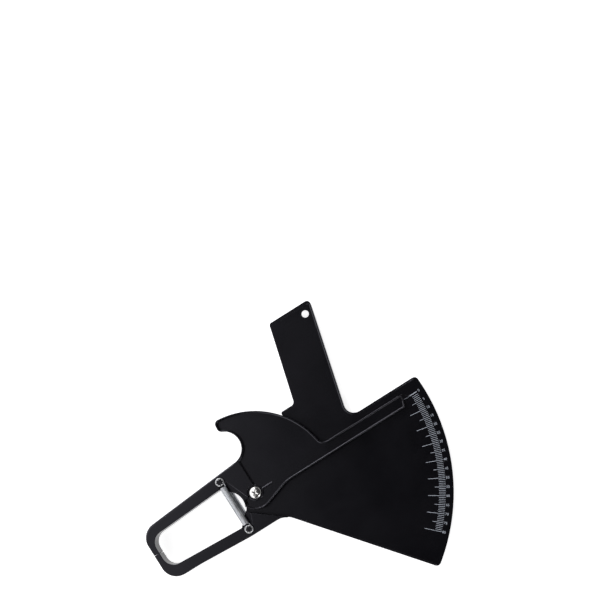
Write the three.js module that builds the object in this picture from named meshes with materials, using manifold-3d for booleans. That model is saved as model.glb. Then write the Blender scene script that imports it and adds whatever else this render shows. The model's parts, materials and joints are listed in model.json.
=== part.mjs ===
// Skinfold caliper with a 0 to 80 mm sector scale.
// Millimetres, +Z up. The scale faces +Z, the jaws point to -X and the hand grip to +Y.
// It is drawn about the pivot and the plane between its two mouldings, and moved at the end
// so that the origin lies at the middle of the underside of its bounding box.

import * as THREE from 'three';
import { mergeVertices } from 'three/addons/utils/BufferGeometryUtils.js';
import Module from 'manifold-3d';

const wasm = await Module();
wasm.setup();

const DEGREE = Math.PI / 180;

// Driving dimensions

const chordError = 0.045; // how far a facet may stand off a true arc
const seat = 0.3; // daylight between pieces that bear on each other
const overrun = 1; // how far a cutter runs past the face that it opens

// Jaw arms
const armThickness = 15; // front to back
const jawReach = 105.85; // pivot to the middle of the jaw faces
const jawFaceWidth = 5.5; // jaw face, across the arm
const jawGap = 0.3; // daylight between the closed jaws
const jawEdgeRadius = 0.6;
const armOuterCorner = 15; // bend of the arm at the jaw, outside and inside
const armInnerCorner = 11;
const upperArmOutside = 8.2; // outer edge of the upper arm from the line of the posts, at the pivot
const upperArmInside = 4.4; // inner edge
const upperOuterTaper = 0.0825; // rise of these edges per millimetre towards the pivot
const upperInnerTaper = 0.0556;
const lowerArmOutside = 6.6;
const lowerArmInside = 3.1;
const lowerInnerTaper = 0.0508;
const lowerTipInset = 3.2; // outer edge of the lower arm, drawn in at the jaw
const lowerBendFromJaw = 30; // where that edge starts to widen
const lowerBendToPost = 3; // and where it has its full width
const lowerBendRadius = 60;

// Scale plate
const bodySkin = 2.5; // wall behind the scale face
const bodyRim = 1.7; // rim round the back
const arcRim = 3.3; // rim along the scale arc
const sectorRadius = 181.8; // pivot to the scale arc
const sectorTop = 13; // top edge above the zero line
const sectorCorner = 4;
const sectorEdgeAngle = -50.7; // direction of the sloping edge
const sectorEdgeOffset = 11.5; // pivot to the line of the sloping edge
const sectorFillet = 16; // sloping edge into the lower arm
const arcLow = -51.5; // angles between which the arc is drawn
const arcHigh = 1.5;
const lipWidth = 1.4; // raised lip on the front edges
const lipHeight = 0.6;
const slopeLipFrom = 52; // where the lip starts along the sloping edge

// Ribs behind the scale plate
const ribWidth = 1.1;
const ribDepth = 3.9;
const longRibAngle = -14.8; // ribs that run out from the pivot
const longRibOffset = 2;
const steepRibAngle = -34.8;
const gripRibBendDrop = 15.8; // bend of the rib below the left edge of the grip
const gripRibBendRadius = 22;
const gripRibFoot = 36; // pivot to its foot on the long rib
const rightRibBendDrop = 22.2;
const rightRibBendRadius = 16;
const rightRibFoot = 113;
const middleRibFoot = 78; // rib up the middle of the grip
const middleRibTop = 38.8; // above the top edge of the sector
const throatRibRise = 4.3; // short rib from the pivot to the throat

// Grip
const gripRightLean = 14.1; // edges of the grip from +Y towards +X
const gripLeftLean = 14.7;
const gripRight = 107.9; // edges of the grip where they meet the top of the sector
const gripLeft = 63.1;
const gripLength = 112; // above the top edge of the sector
const gripCorner = 3.6;
const gripLeftCorner = 3;
const gripFillet = 9.5; // grip into the sector top
const gripLipWidth = 3.4; // broad lip at the end of the grip
const hangHole = 6.8; // diameter
const hangHoleFromEnd = 9.8;
const hangHoleFromRight = 8;

// Window behind the trigger
const shoulderDrop = 8.4; // left end of the window's top, from the left edge of the grip
const windowHeight = 35.2;
const windowRight = 58;
const windowBottom = 15.2;
const windowCorner = 11;
const shoulderInner = 4;
const shoulderOuter = 2;
const hubShoulder = 14; // edge of the window into the throat
const hubShoulderX = -1;
const hubShoulderAngle = 32;

// Throat beside the springs
const throatX = -29;
const throatY = 0.5;
const throatRadius = 15.7;
const throatHead = 8; // angles between which the edge of the body is round
const throatLow = -43;
const leverThroatHead = 48; // the same for the edge of the lever
const leverThroatLow = -27;

// Trigger lever
const leverFloor = 3; // wall under the trigger and pointer
const leverRim = 1.3; // rim round the front
const hubRadius = 15.4;
const hubEdgeCorner = 1;
const hubStart = 212; // angles between which the hub edge is round
const hubLeave = 288.4;
const hubToPointer = 30; // fillet
const fingerRadius = 15.7; // finger hook
const fingerX = -2.4;
const fingerRise = -0.2; // foot of the hook above the edge of the arm
const fingerFoot = -60; // angles between which the hook is round
const fingerHead = 65;
const fingerFillet = 14;
const hookWall = 10.3; // hook to the outer arc of the trigger
const triggerTipRadius = 4.3;
const triggerTipOuter = 5; // how far the tip runs past the end of each arc
const triggerTipInner = 3.4;
const triggerFoot = 10; // angles between which the outer arc is drawn
const triggerHead = 84.5;
const triggerFillet = 7;
const frontStepX = 2.4; // front step from the arm down to the trigger floor
const frontStepY = -0.7; // its end under the pivot
const leverEndAngle = 55.5; // sloping back end of the upper arm
const bodyEndAngle = -38; // sloping front end of the lower arm
const armEndClearance = 0.8; // upper arm to the edge of the scale body
const armEndReach = 2; // front end of the lower arm, past the start of the sloping edge
const hubClearance = 3.3; // hub to the front end of the lower arm
const swing = 44.5; // travel of the lever in degrees

// Pointer
const pointerAbove = 5.3; // edges about the zero line
const pointerBelow = 6.5;
const pointerLength = 160.2; // pivot to the broad end
const pointerTip = 6.8; // reading point beyond it
const pointerTopReach = 1; // upper corner beyond the broad end
const pointerCorner = 1;
const pointerNose = 2.4; // lower corner short of the broad end
const pointerStepBack = 56; // drop of the rim, back from the broad end
const pointerStepRun = 8;
const pointerRimHeight = 1.25; // low rim above the floor
const tipThickness = 1.3;

// Pivot
const bossRadius = 7.1; // seats of the screw and the nut
const screwSeat = 5; // in front of the middle plane
const nutSeat = 6.5; // behind the middle plane
const barrelRadius = 3.2; // pivot nut
const barrelWall = 0.7;
const nutFlangeRadius = 4.4;
const nutFlange = 1.7;
const nutChamfer = 0.4;
const screwHeadRadius = 5.9;
const screwHeadHeight = 3;
const crossWidth = 1.2;
const crossLength = 5.8;
const crossDepth = 1.7;
const hubRibReach = 18; // short rib on the hub floor, beyond the pivot
const hubRibHeight = 1.1;

// Springs and their posts
const postX = -21.9; // posts, mirrored above and below the pivot
const postY = 25.2;
const postRadius = 2.5;
const postLength = 4.6; // from the face of the arm
const shoulderRadius = 3.4;
const shoulderHeight = 0.3;
const wire = 0.9; // diameter
const coilRadius = 2.7; // to the middle of the wire
const coilGap = 0.45; // daylight between turns
const coilTurns = 29.5;
const coilSteps = 8; // per turn
const wireSides = 5;
const hookClearance = 0.9; // post to the wire of the hook
const hookSteps = 18;
const hookGap = 60; // opening of the hook towards the coil, in degrees
const springLift = 1.1; // middle of the spring above the face of the arm
const coilClearance = 0.4; // round the coil in the arms and the hub
const ringBand = 1.05; // star rings
const ringThickness = 0.4;
const ringTeeth = 8;
const ringSteps = 32;

// Lightening pockets in the back of the lower arm
const pocketRim = 1.6;
const pocketBend = 14; // lowest edge of the deep pocket at the jaw, from the jaw face
const pocketHeel = 2.6; // small pocket between the jaw face and that edge
const pocketLength = 54; // deep pocket, from the outside of the jaw
const recessDepth = 2.5; // shallow recess beyond it
const recessToPost = 5.6;
const pocketWall = 1;

// Sizes worked out from them

const face = armThickness / 2;
const front = -jawGap / 2; // scale face
const floorBack = jawGap / 2; // back of the lever
const skinBack = front - bodySkin;
const floorTop = floorBack + leverFloor;
const springLevel = face + springLift;
const coilOuter = coilRadius + wire / 2;
const reliefLevel = springLevel - coilOuter - coilClearance;
const pitch = wire + coilGap;
const coilLength = coilTurns * pitch;
const boltHole = barrelRadius + seat;
const hookRadius = postRadius + hookClearance + wire / 2; // to the middle of the wire
const ringRadius = hookRadius + wire / 2;
const reach = 2 * sectorRadius; // larger than the part

const jawInner = -jawReach + jawFaceWidth / 2;
const jawOuter = -jawReach - jawFaceWidth / 2;
const upperOuter = (x) => postY + upperArmOutside + upperOuterTaper * x;
const upperInner = (x) => postY - upperArmInside + upperInnerTaper * x;
const lowerInner = (x) => -postY + lowerArmInside - lowerInnerTaper * x;
const lowerOuter = -postY - lowerArmOutside;
const gripRightAt = (y) => gripRight + Math.tan(gripRightLean * DEGREE) * (y - sectorTop);
const gripLeftAt = (y) => gripLeft + Math.tan(gripLeftLean * DEGREE) * (y - sectorTop);
const gripEnd = sectorTop + gripLength;
const windowTop = windowBottom + windowHeight;
const fingerY = upperOuter(0) + fingerRadius + fingerRise;
const triggerRadius = fingerY + fingerRadius + hookWall;

// Materials

const blackPlastic = new THREE.MeshStandardMaterial({ color: 0x17171a, roughness: 0.42, metalness: 0 });
const springSteel = new THREE.MeshStandardMaterial({ color: 0xc3c6c9, roughness: 0.3, metalness: 1 });
const nickel = new THREE.MeshStandardMaterial({ color: 0xd8d6d2, roughness: 0.22, metalness: 1 });

// Solids and meshes

// A closed geometry as a solid for joining and cutting.
function solidOf(geometry) {
  const bare = geometry.clone();
  bare.deleteAttribute('normal');
  bare.deleteAttribute('uv');
  const merged = mergeVertices(bare, 1e-4);
  return new wasm.Manifold(new wasm.Mesh({
    numProp: 3,
    vertProperties: Float32Array.from(merged.attributes.position.array),
    triVerts: Uint32Array.from(merged.index.array),
  }));
}

// A solid as a flat-shaded geometry.
function geometryOf(solid) {
  const cut = solid.getMesh();
  const indexed = new THREE.BufferGeometry();
  indexed.setAttribute('position', new THREE.BufferAttribute(Float32Array.from(cut.vertProperties), 3));
  indexed.setIndex(Array.from(cut.triVerts));
  const geometry = indexed.toNonIndexed();
  geometry.computeVertexNormals();
  return geometry;
}

function namedMesh(name, geometry, material) {
  const mesh = new THREE.Mesh(geometry, material);
  mesh.name = name;
  return mesh;
}

// Plan shapes

const vector = (x, y) => new THREE.Vector2(x, y);
const polar = (radius, degrees) => vector(radius, 0).rotateAround(vector(0, 0), degrees * DEGREE);
const onCircle = (centre, radius, degrees) => polar(radius, degrees).add(centre);

// Steps that keep a facet within chordError of an arc.
function arcSteps(radius, sweep) {
  const step = 2 * Math.acos(1 - Math.min(chordError / radius, 0.3));
  return Math.max(1, Math.ceil(Math.abs(sweep) / step));
}

// Where two lines meet, each given by a point and a direction.
function meet(p, u, q, v) {
  const cross = u.x * v.y - u.y * v.x;
  const t = ((q.x - p.x) * v.y - (q.y - p.y) * v.x) / cross;
  return vector(p.x + t * u.x, p.y + t * u.y);
}

// The points that round one corner between the directions before and after it.
function roundCorner(point, before, after, radius) {
  const turn = Math.atan2(before.x * after.y - before.y * after.x, before.dot(after));
  if (radius === 0) {
    return [point];
  }
  const side = Math.sign(turn);
  const start = point.clone().addScaledVector(before, -radius * Math.abs(Math.tan(turn / 2)));
  const centre = vector(start.x - side * before.y * radius, start.y + side * before.x * radius);
  const steps = arcSteps(radius, turn);
  return Array.from({ length: steps + 1 }, (_, k) => start.clone().rotateAround(centre, turn * k / steps));
}

// A plan outline from corners { point, radius }, anticlockwise, drawn in by inset. A corner that
// turns inwards grows by the inset, and one that turns outwards shrinks by it.
function outline(corners, inset = 0) {
  const count = corners.length;
  const at = (k) => corners[(k + count) % count];
  const direction = (k) => at(k + 1).point.clone().sub(at(k).point).normalize();
  return corners.flatMap((corner, k) => {
    const before = direction(k - 1);
    const after = direction(k);
    const p = vector(corner.point.x - before.y * inset, corner.point.y + before.x * inset);
    const q = vector(corner.point.x - after.y * inset, corner.point.y + after.x * inset);
    const turnsIn = before.x * after.y - before.y * after.x > 0;
    const moved = turnsIn ? Math.max(corner.radius - inset, 0) : corner.radius + inset;
    return roundCorner(meet(p, before, q, after), before, after, corner.radius > 0 ? moved : 0);
  });
}

// An open path with rounded corners.
function roundedPath(corners) {
  return corners.flatMap((corner, k) => {
    if (k === 0 || k === corners.length - 1) {
      return [corner.point];
    }
    const before = corner.point.clone().sub(corners[k - 1].point).normalize();
    const after = corners[k + 1].point.clone().sub(corner.point).normalize();
    return roundCorner(corner.point, before, after, corner.radius);
  });
}

const corner = (x, y, radius = 0) => ({ point: vector(x, y), radius });
const cornerAt = (point, radius) => ({ point, radius });

// The corner whose rounding is the arc of one circle between two angles.
function arcCorner(centre, radius, from, to) {
  const half = Math.abs(to - from) / 2 * DEGREE;
  return cornerAt(onCircle(centre, radius / Math.cos(half), (from + to) / 2), radius);
}

function prism(points, low, high) {
  const shape = new THREE.Shape(points);
  const geometry = new THREE.ExtrudeGeometry(shape, { depth: high - low, bevelEnabled: false });
  return solidOf(geometry.translate(0, 0, low));
}

function disc(radius, x, y, low, high) {
  const steps = 4 * arcSteps(radius, Math.PI / 2);
  const geometry = new THREE.CylinderGeometry(radius, radius, high - low, steps);
  return solidOf(geometry.rotateX(Math.PI / 2).translate(x, y, (low + high) / 2));
}

// Everything to the right of a line through a point, looking along the line.
function rightOf(point, degrees, low, high) {
  const along = polar(reach, degrees);
  const away = polar(reach, degrees - 90);
  const start = point.clone().sub(along);
  const end = point.clone().add(along);
  return prism([start, start.clone().add(away), end.clone().add(away), end], low, high);
}

const leftOfX = (x, low, high) => rightOf(vector(x, 0), 270, low, high);
const rightOfX = (x, low, high) => rightOf(vector(x, 0), 90, low, high);
const belowY = (y, low, high) => rightOf(vector(0, y), 0, low, high);
const aboveY = (y, low, high) => rightOf(vector(0, y), 180, low, high);

// A wall of one width along a path of points.
function wall(path, width, low, high) {
  const side = (sign) => path.map((point, k) => {
    const before = path[Math.max(k - 1, 0)];
    const after = path[Math.min(k + 1, path.length - 1)];
    const along = after.clone().sub(before).normalize();
    return vector(point.x + sign * along.y * width / 2, point.y - sign * along.x * width / 2);
  });
  return prism([...side(1), ...side(-1).reverse()], low, high);
}

// Outlines of the two mouldings

const pivot = vector(0, 0);
const level = vector(1, 0);
const edge = polar(1, sectorEdgeAngle);
const edgePoint = polar(sectorEdgeOffset, sectorEdgeAngle - 90);
const armToSector = meet(vector(0, lowerOuter), level, edgePoint, edge);
const sectorFoot = meet(edgePoint, edge, polar(sectorRadius, arcLow), polar(1, arcLow + 90));
const sectorHead = meet(vector(0, sectorTop), level, polar(sectorRadius, arcHigh), polar(1, arcHigh + 90));

// The edge of the body follows the throat on its left and the window on its right.
const throatCentre = vector(throatX, throatY);
const throatEdge = arcCorner(throatCentre, throatRadius, throatHead, throatLow);
const throatHeadEnd = onCircle(throatCentre, throatRadius, throatHead);
const hubShoulderAt = vector(hubShoulderX, windowBottom);
const shoulderLine = polar(1, hubShoulderAngle);
const throatTurn = meet(throatHeadEnd, polar(1, throatHead + 90), hubShoulderAt, shoulderLine);
const throatLowEnd = onCircle(throatCentre, throatRadius, throatLow);
const lowerInnerLine = polar(1, Math.atan(-lowerInnerTaper) / DEGREE);
const throatToArm = meet(throatLowEnd, polar(1, throatLow - 90), vector(0, lowerInner(0)), lowerInnerLine);

const bodyCorners = [
  corner(jawInner, front, jawEdgeRadius),
  corner(jawOuter, front, jawEdgeRadius),
  corner(jawOuter, lowerOuter + lowerTipInset, armOuterCorner),
  corner(jawOuter + lowerBendFromJaw, lowerOuter + lowerTipInset, lowerBendRadius),
  corner(postX - lowerBendToPost, lowerOuter, lowerBendRadius),
  cornerAt(armToSector, sectorFillet),
  cornerAt(sectorFoot, sectorCorner),
  arcCorner(pivot, sectorRadius, arcLow, arcHigh),
  cornerAt(sectorHead, sectorCorner),
  corner(gripRight, sectorTop, gripFillet),
  corner(gripRightAt(gripEnd), gripEnd, gripCorner),
  corner(gripLeftAt(gripEnd), gripEnd, gripLeftCorner),
  corner(gripLeftAt(windowTop), windowTop, shoulderInner),
  corner(windowRight, windowTop, shoulderOuter),
  corner(windowRight, windowBottom, windowCorner),
  cornerAt(hubShoulderAt, hubShoulder),
  cornerAt(throatTurn, hubEdgeCorner),
  throatEdge,
  cornerAt(throatToArm, hubEdgeCorner),
  corner(jawInner, lowerInner(jawInner), armInnerCorner),
];

const leverThroat = arcCorner(throatCentre, throatRadius, leverThroatHead, leverThroatLow);
const leverThroatEnd = onCircle(throatCentre, throatRadius, leverThroatLow);
const hubEdgeStart = polar(hubRadius, hubStart);
const hubEdgeLine = polar(1, hubStart + 90);
const hubCorner = meet(leverThroatEnd, polar(1, leverThroatLow - 90), hubEdgeStart, hubEdgeLine);
const leverThroatStart = onCircle(throatCentre, throatRadius, leverThroatHead);
const upperInnerAt = vector(0, upperInner(0));
const upperInnerLine = polar(1, Math.atan(upperInnerTaper) / DEGREE);
const armToThroat = meet(leverThroatStart, polar(1, leverThroatHead - 90), upperInnerAt, upperInnerLine);
const hubEdgeEnd = polar(hubRadius, hubLeave);
const hubToPointerAt = meet(hubEdgeEnd, polar(1, hubLeave + 90), vector(0, -pointerBelow), level);
const triggerStart = polar(triggerRadius, triggerFoot);
const triggerEnd = polar(triggerRadius, triggerHead);
const triggerToPointer = meet(triggerStart, polar(1, triggerFoot + 90), vector(0, pointerAbove), level);
const tipOuter = triggerEnd.clone().addScaledVector(polar(1, triggerHead + 90), triggerTipOuter);
const fingerCentre = vector(fingerX, fingerY);
const fingerEnd = onCircle(fingerCentre, fingerRadius, fingerHead);
const tipInner = fingerEnd.clone().addScaledVector(polar(1, fingerHead + 90), triggerTipInner);
const upperOuterLine = polar(1, Math.atan(upperOuterTaper) / DEGREE);
const fingerStart = onCircle(fingerCentre, fingerRadius, fingerFoot);
const fingerToArm = meet(fingerStart, polar(1, fingerFoot - 90), vector(0, upperOuter(0)), upperOuterLine);

const leverCorners = [
  corner(jawInner, floorBack, jawEdgeRadius),
  corner(jawInner, upperInner(jawInner), armInnerCorner),
  cornerAt(armToThroat, hubEdgeCorner),
  leverThroat,
  cornerAt(hubCorner, hubEdgeCorner),
  arcCorner(pivot, hubRadius, hubStart, hubLeave),
  cornerAt(hubToPointerAt, hubToPointer),
  corner(pointerLength - pointerNose, -pointerBelow, pointerCorner),
  corner(pointerLength, 0),
  corner(pointerLength + pointerTip, 0),
  corner(pointerLength + pointerTopReach, pointerAbove, pointerCorner),
  cornerAt(triggerToPointer, triggerFillet),
  arcCorner(pivot, triggerRadius, triggerFoot, triggerHead),
  cornerAt(tipOuter, triggerTipRadius),
  cornerAt(tipInner, triggerTipRadius),
  arcCorner(fingerCentre, fingerRadius, fingerHead, fingerFoot),
  cornerAt(fingerToArm, fingerFillet),
  corner(jawOuter, upperOuter(jawOuter), armOuterCorner),
  corner(jawOuter, floorBack, jawEdgeRadius),
];

// The ground that the coil swings over, as seen from the moulding that holds the post. The fan of
// the upper post is the mirror image of the lower one.
function springFan(upper, low, high) {
  const half = coilOuter + coilClearance;
  const near = postY - coilLength / 2 - wire - coilClearance;
  const far = postY + coilLength / 2 + wire + coilClearance;
  const place = (along, across, degrees) => {
    const turned = vector(across, along).rotateAround(pivot, degrees * DEGREE);
    return vector(postX + turned.x, (turned.y - postY) * (upper ? -1 : 1));
  };
  const points = [
    place(near, -half, 0),
    place(near, half, 0),
    place(near, half, -swing / 2),
    place(far, half, -swing / 2),
    place(far, half, 0),
    place(far, -half, 0),
  ];
  return prism(upper ? points.reverse() : points, low, high);
}

function openForSpring(solid, upper) {
  const beyond = springLevel + coilOuter;
  return solid
    .subtract(springFan(upper, reliefLevel, beyond))
    .subtract(springFan(upper, -beyond, -reliefLevel));
}

// The posts of one arm, front and back, with the low shoulders that carry the hooks.
function addPosts(solid, y) {
  const tip = face + postLength;
  const shoulder = face + shoulderHeight;
  return solid
    .add(disc(postRadius, postX, y, -tip, tip))
    .add(disc(shoulderRadius, postX, y, -shoulder, shoulder));
}

// Scale body

const longRib = { point: vector(0, longRibOffset), along: polar(1, longRibAngle) };

function bodyRibs() {
  const out = polar(reach, longRibAngle).add(longRib.point);
  const onLongRib = (x) => longRib.point.clone().addScaledVector(longRib.along, x);
  const leftBend = sectorTop - gripRibBendDrop;
  const rightBend = sectorTop - rightRibBendDrop;
  const middle = (y) => (gripLeftAt(y) + gripRightAt(y)) / 2;
  const middleTop = sectorTop + middleRibTop;
  const middleLow = onLongRib(middleRibFoot);
  return [
    [cornerAt(longRib.point), cornerAt(out)],
    [cornerAt(pivot), cornerAt(polar(reach, steepRibAngle))],
    [
      corner(gripLeftAt(windowTop), windowTop),
      corner(gripLeftAt(leftBend), leftBend, gripRibBendRadius),
      cornerAt(onLongRib(gripRibFoot)),
    ],
    [
      corner(gripRightAt(sectorTop + gripFillet), sectorTop + gripFillet),
      corner(gripRightAt(rightBend), rightBend, rightRibBendRadius),
      cornerAt(onLongRib(rightRibFoot)),
    ],
    [cornerAt(middleLow), corner(middle(middleTop) - middle(middleLow.y) + middleLow.x, middleTop)],
    [corner(throatX, throatRibRise), corner(0, throatRibRise)],
    [corner(0, 0), corner(0, windowBottom)],
  ];
}

function buildBody() {
  const plan = outline(bodyCorners);
  const below = -face - overrun;
  const above = face + overrun;

  // The lower arm is full thickness up to a sloping end on the front.
  const endPoint = polar(hubRadius + hubClearance, bodyEndAngle - 90);
  const arm = prism(plan, -face, face)
    .intersect(rightOf(endPoint, bodyEndAngle, -face, face))
    .intersect(leftOfX(armToSector.x + armEndReach, -face, face))
    .subtract(rightOf(armToSector, sectorEdgeAngle + 180, front, face + overrun));
  let body = prism(plan, -face, front).add(arm);

  // The back is a tray inside the rims, except for the arm, the arc rim and the pivot boss.
  const armBlock = leftOfX(0, below, face).intersect(belowY(throatY - bossRadius, below, face));
  const tray = prism(outline(bodyCorners, bodyRim), below, skinBack)
    .intersect(disc(sectorRadius - arcRim, 0, 0, below, skinBack))
    .subtract(armBlock)
    .subtract(disc(bossRadius, 0, 0, below, skinBack));
  body = body.subtract(tray);

  // Ribs behind the plate.
  const ribRoot = skinBack + bodySkin / 2;
  const ribBack = skinBack - ribDepth;
  const inside = prism(outline(bodyCorners, bodyRim / 2), ribBack, ribRoot);
  for (const corners of bodyRibs()) {
    body = body.add(wall(roundedPath(corners), ribWidth, ribBack, ribRoot).intersect(inside));
  }

  // Lightening pockets in the back of the lower arm: a deep one round the bend, a shallow one
  // towards the post, and a small one behind the jaw face.
  const pocketPlan = outline(bodyCorners, pocketRim);
  const pocket = (low, high) => prism(pocketPlan, low, high).intersect(belowY(front, low, high));
  const deep = face - bodySkin;
  const pocketEnd = jawOuter + pocketLength;
  const bend = pocket(below, deep)
    .intersect(leftOfX(pocketEnd, below, deep))
    .intersect(belowY(-pocketBend, below, deep).add(rightOfX(jawInner, below, deep)));
  const recess = pocket(below, -face + recessDepth)
    .intersect(rightOfX(pocketEnd + pocketWall, below, face))
    .intersect(leftOfX(postX - recessToPost, below, face));
  const heel = pocket(below, deep)
    .intersect(leftOfX(jawInner, below, deep))
    .intersect(belowY(-pocketHeel, below, deep))
    .intersect(aboveY(pocketWall - pocketBend, below, deep));
  body = body.subtract(bend).subtract(recess).subtract(heel);

  // Raised lips on the front: the right side of the grip, the top and the sloping edge of the
  // sector, and a broad one across the end of the grip.
  const lipLow = front - bodySkin / 2;
  const lipTop = front + lipHeight;
  const lipBand = prism(plan, lipLow, lipTop).subtract(prism(outline(bodyCorners, lipWidth), below, above));
  const gripMiddle = vector((gripLeft + gripRight) / 2, sectorTop);
  const upperLip = rightOf(gripMiddle, 90 - gripRightLean, lipLow, lipTop)
    .intersect(aboveY(pointerAbove + seat, lipLow, lipTop));
  const slopeStart = edgePoint.clone().addScaledVector(edge, slopeLipFrom);
  const slopeLip = rightOf(slopeStart, sectorEdgeAngle + 90, lipLow, lipTop)
    .intersect(belowY(-pointerBelow, lipLow, lipTop));
  const lips = lipBand
    .intersect(disc(sectorRadius - arcRim, 0, 0, lipLow, lipTop).add(aboveY(sectorTop, lipLow, lipTop)))
    .intersect(upperLip.add(slopeLip));
  const endLip = prism(plan, lipLow, lipTop).intersect(aboveY(gripEnd - gripLipWidth, lipLow, lipTop));
  body = body.add(lips).add(endLip);

  // Posts, the ground under the swinging coils, the pivot hole and the hanging hole.
  body = openForSpring(body, false);
  body = addPosts(body, -postY);
  const holeY = gripEnd - hangHoleFromEnd;
  const holeX = gripRightAt(holeY) - hangHoleFromRight;
  return body
    .subtract(disc(bossRadius + ribWidth, 0, 0, below, -nutSeat))
    .subtract(disc(boltHole, 0, 0, below, above))
    .subtract(disc(hangHole / 2, holeX, holeY, below, above));
}

// Trigger lever

function buildLever() {
  const plan = outline(leverCorners);
  const below = -face - overrun;
  const above = face + overrun;

  // The arm is full thickness behind the middle plane too, up to a sloping end.
  const endPoint = polar(windowBottom + armEndClearance, leverEndAngle + 90);
  const armBehind = prism(plan, -face, face)
    .intersect(rightOf(endPoint, leverEndAngle + 180, -face, face))
    .intersect(leftOfX(fingerX + fingerRadius / 2, -face, face))
    .intersect(belowY(fingerY, -face, face));
  let lever = prism(plan, floorBack, face).add(armBehind);

  // The front of the hub, trigger and pointer is a tray inside the rim.
  const armOnFront = leftOfX(frontStepX, floorTop, above)
    .intersect(aboveY(frontStepY, floorTop, above))
    .add(leftOfX(postX, floorTop, above));
  const tray = prism(outline(leverCorners, leverRim), floorTop, above)
    .subtract(armOnFront)
    .subtract(disc(bossRadius, 0, 0, floorTop, above));
  lever = lever.subtract(tray);

  // Seat of the screw, and the short rib on each side of it.
  const seatCut = disc(bossRadius + seat, 0, 0, screwSeat, above);
  const ribTop = floorTop + hubRibHeight;
  const sideRib = wall([vector(throatX, 0), vector(hubRibReach, 0)], ribWidth, floorBack, ribTop);
  lever = lever.subtract(seatCut).add(sideRib.intersect(prism(plan, floorBack, ribTop)));

  // The rim drops along the pointer, and the tip is thin.
  const stepX = pointerLength - pointerStepBack;
  const noseX = pointerLength - pointerNose;
  const lowRim = floorTop + pointerRimHeight;
  const tipTop = floorBack + tipThickness;
  const end = pointerLength + pointerTip + overrun;
  const sideView = new THREE.Shape([
    vector(stepX, above),
    vector(stepX, face),
    vector(stepX + pointerStepRun, lowRim),
    vector(noseX, lowRim),
    vector(pointerLength, tipTop),
    vector(end, tipTop),
    vector(end, above),
  ]);
  const width = 2 * (pointerAbove + pointerBelow);
  const wedge = new THREE.ExtrudeGeometry(sideView, { depth: width, bevelEnabled: false });
  lever = lever.subtract(solidOf(wedge.rotateX(Math.PI / 2).translate(0, width / 2, 0)));

  lever = openForSpring(lever, true);
  lever = addPosts(lever, postY);
  return lever.subtract(disc(boltHole, 0, 0, below, above));
}

// Pivot hardware

function lathe(profile) {
  const steps = 28;
  const geometry = new THREE.LatheGeometry(profile.map(([x, y]) => vector(x, y)), steps);
  return solidOf(geometry.rotateX(Math.PI / 2));
}

const nutTop = -nutSeat - seat;
const nutBack = nutTop - nutFlange;

function buildNut() {
  const bore = barrelRadius - barrelWall;
  const top = screwSeat - seat;
  return lathe([
    [bore, nutBack],
    [nutFlangeRadius - nutChamfer, nutBack],
    [nutFlangeRadius, nutBack + nutChamfer],
    [nutFlangeRadius, nutTop],
    [barrelRadius, nutTop],
    [barrelRadius, top],
    [bore, top],
    [bore, nutBack],
  ]);
}

function buildScrew() {
  const shank = barrelRadius - barrelWall - seat;
  const end = nutBack + seat;
  const under = screwSeat + seat;
  const top = under + screwHeadHeight;
  const flank = 0.35 * screwHeadHeight;
  const crown = 0.42 * screwHeadRadius;
  const steps = 5;
  const dome = Array.from({ length: steps + 1 }, (_, k) => {
    const angle = k / steps * Math.PI / 2;
    return [
      crown + (screwHeadRadius - crown) * Math.cos(angle),
      under + flank + (screwHeadHeight - flank) * Math.sin(angle),
    ];
  });
  let screw = lathe([
    [0, end],
    [shank - seat, end],
    [shank, end + seat],
    [shank, under],
    [screwHeadRadius, under],
    ...dome,
    [0, top],
  ]);
  for (const [x, y] of [[crossLength, crossWidth], [crossWidth, crossLength]]) {
    const slot = new THREE.BoxGeometry(x, y, 2 * crossDepth);
    screw = screw.subtract(solidOf(slot.translate(0, 0, top)));
  }
  return screw;
}

// Star ring

function buildRing() {
  const shape = new THREE.Shape();
  shape.setFromPoints(Array.from({ length: ringSteps }, (_, k) => polar(ringRadius, k * 360 / ringSteps)));
  const toothTip = postRadius + seat;
  const root = ringRadius - ringBand;
  const share = 360 / ringTeeth;
  const star = Array.from({ length: ringTeeth }, (_, tooth) => [
    polar(toothTip, (tooth - 0.175) * share),
    polar(toothTip, (tooth + 0.175) * share),
    polar(root, (tooth + 0.3) * share),
    polar(root, (tooth + 0.7) * share),
  ]).flat();
  shape.holes.push(new THREE.Path(star));
  return new THREE.ExtrudeGeometry(shape, { depth: ringThickness, bevelEnabled: false });
}

// Springs

// A round wire along points, closed at both ends.
function wireAlong(points) {
  const positions = [];
  const last = points.length - 1;
  let normal = new THREE.Vector3(0, 0, 1);
  points.forEach((point, k) => {
    const before = points[Math.max(k - 1, 0)];
    const after = points[Math.min(k + 1, last)];
    const tangent = after.clone().sub(before).normalize();
    normal = normal.clone().addScaledVector(tangent, -normal.dot(tangent)).normalize();
    const binormal = tangent.clone().cross(normal);
    for (let side = 0; side < wireSides; side += 1) {
      const angle = side / wireSides * 2 * Math.PI;
      const rim = point.clone()
        .addScaledVector(normal, wire / 2 * Math.cos(angle))
        .addScaledVector(binormal, wire / 2 * Math.sin(angle));
      positions.push(rim.x, rim.y, rim.z);
    }
  });
  const index = [];
  for (let ring = 0; ring < last; ring += 1) {
    for (let side = 0; side < wireSides; side += 1) {
      const a = ring * wireSides + side;
      const b = ring * wireSides + (side + 1) % wireSides;
      index.push(a, b, b + wireSides, a, b + wireSides, a + wireSides);
    }
  }
  const end = last * wireSides;
  for (let side = 1; side < wireSides - 1; side += 1) {
    index.push(0, side + 1, side);
    index.push(end, end + side, end + side + 1);
  }
  const geometry = new THREE.BufferGeometry();
  geometry.setAttribute('position', new THREE.Float32BufferAttribute(positions, 3));
  geometry.setIndex(index);
  const flatShaded = geometry.toNonIndexed();
  flatShaded.computeVertexNormals();
  return flatShaded;
}

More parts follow.
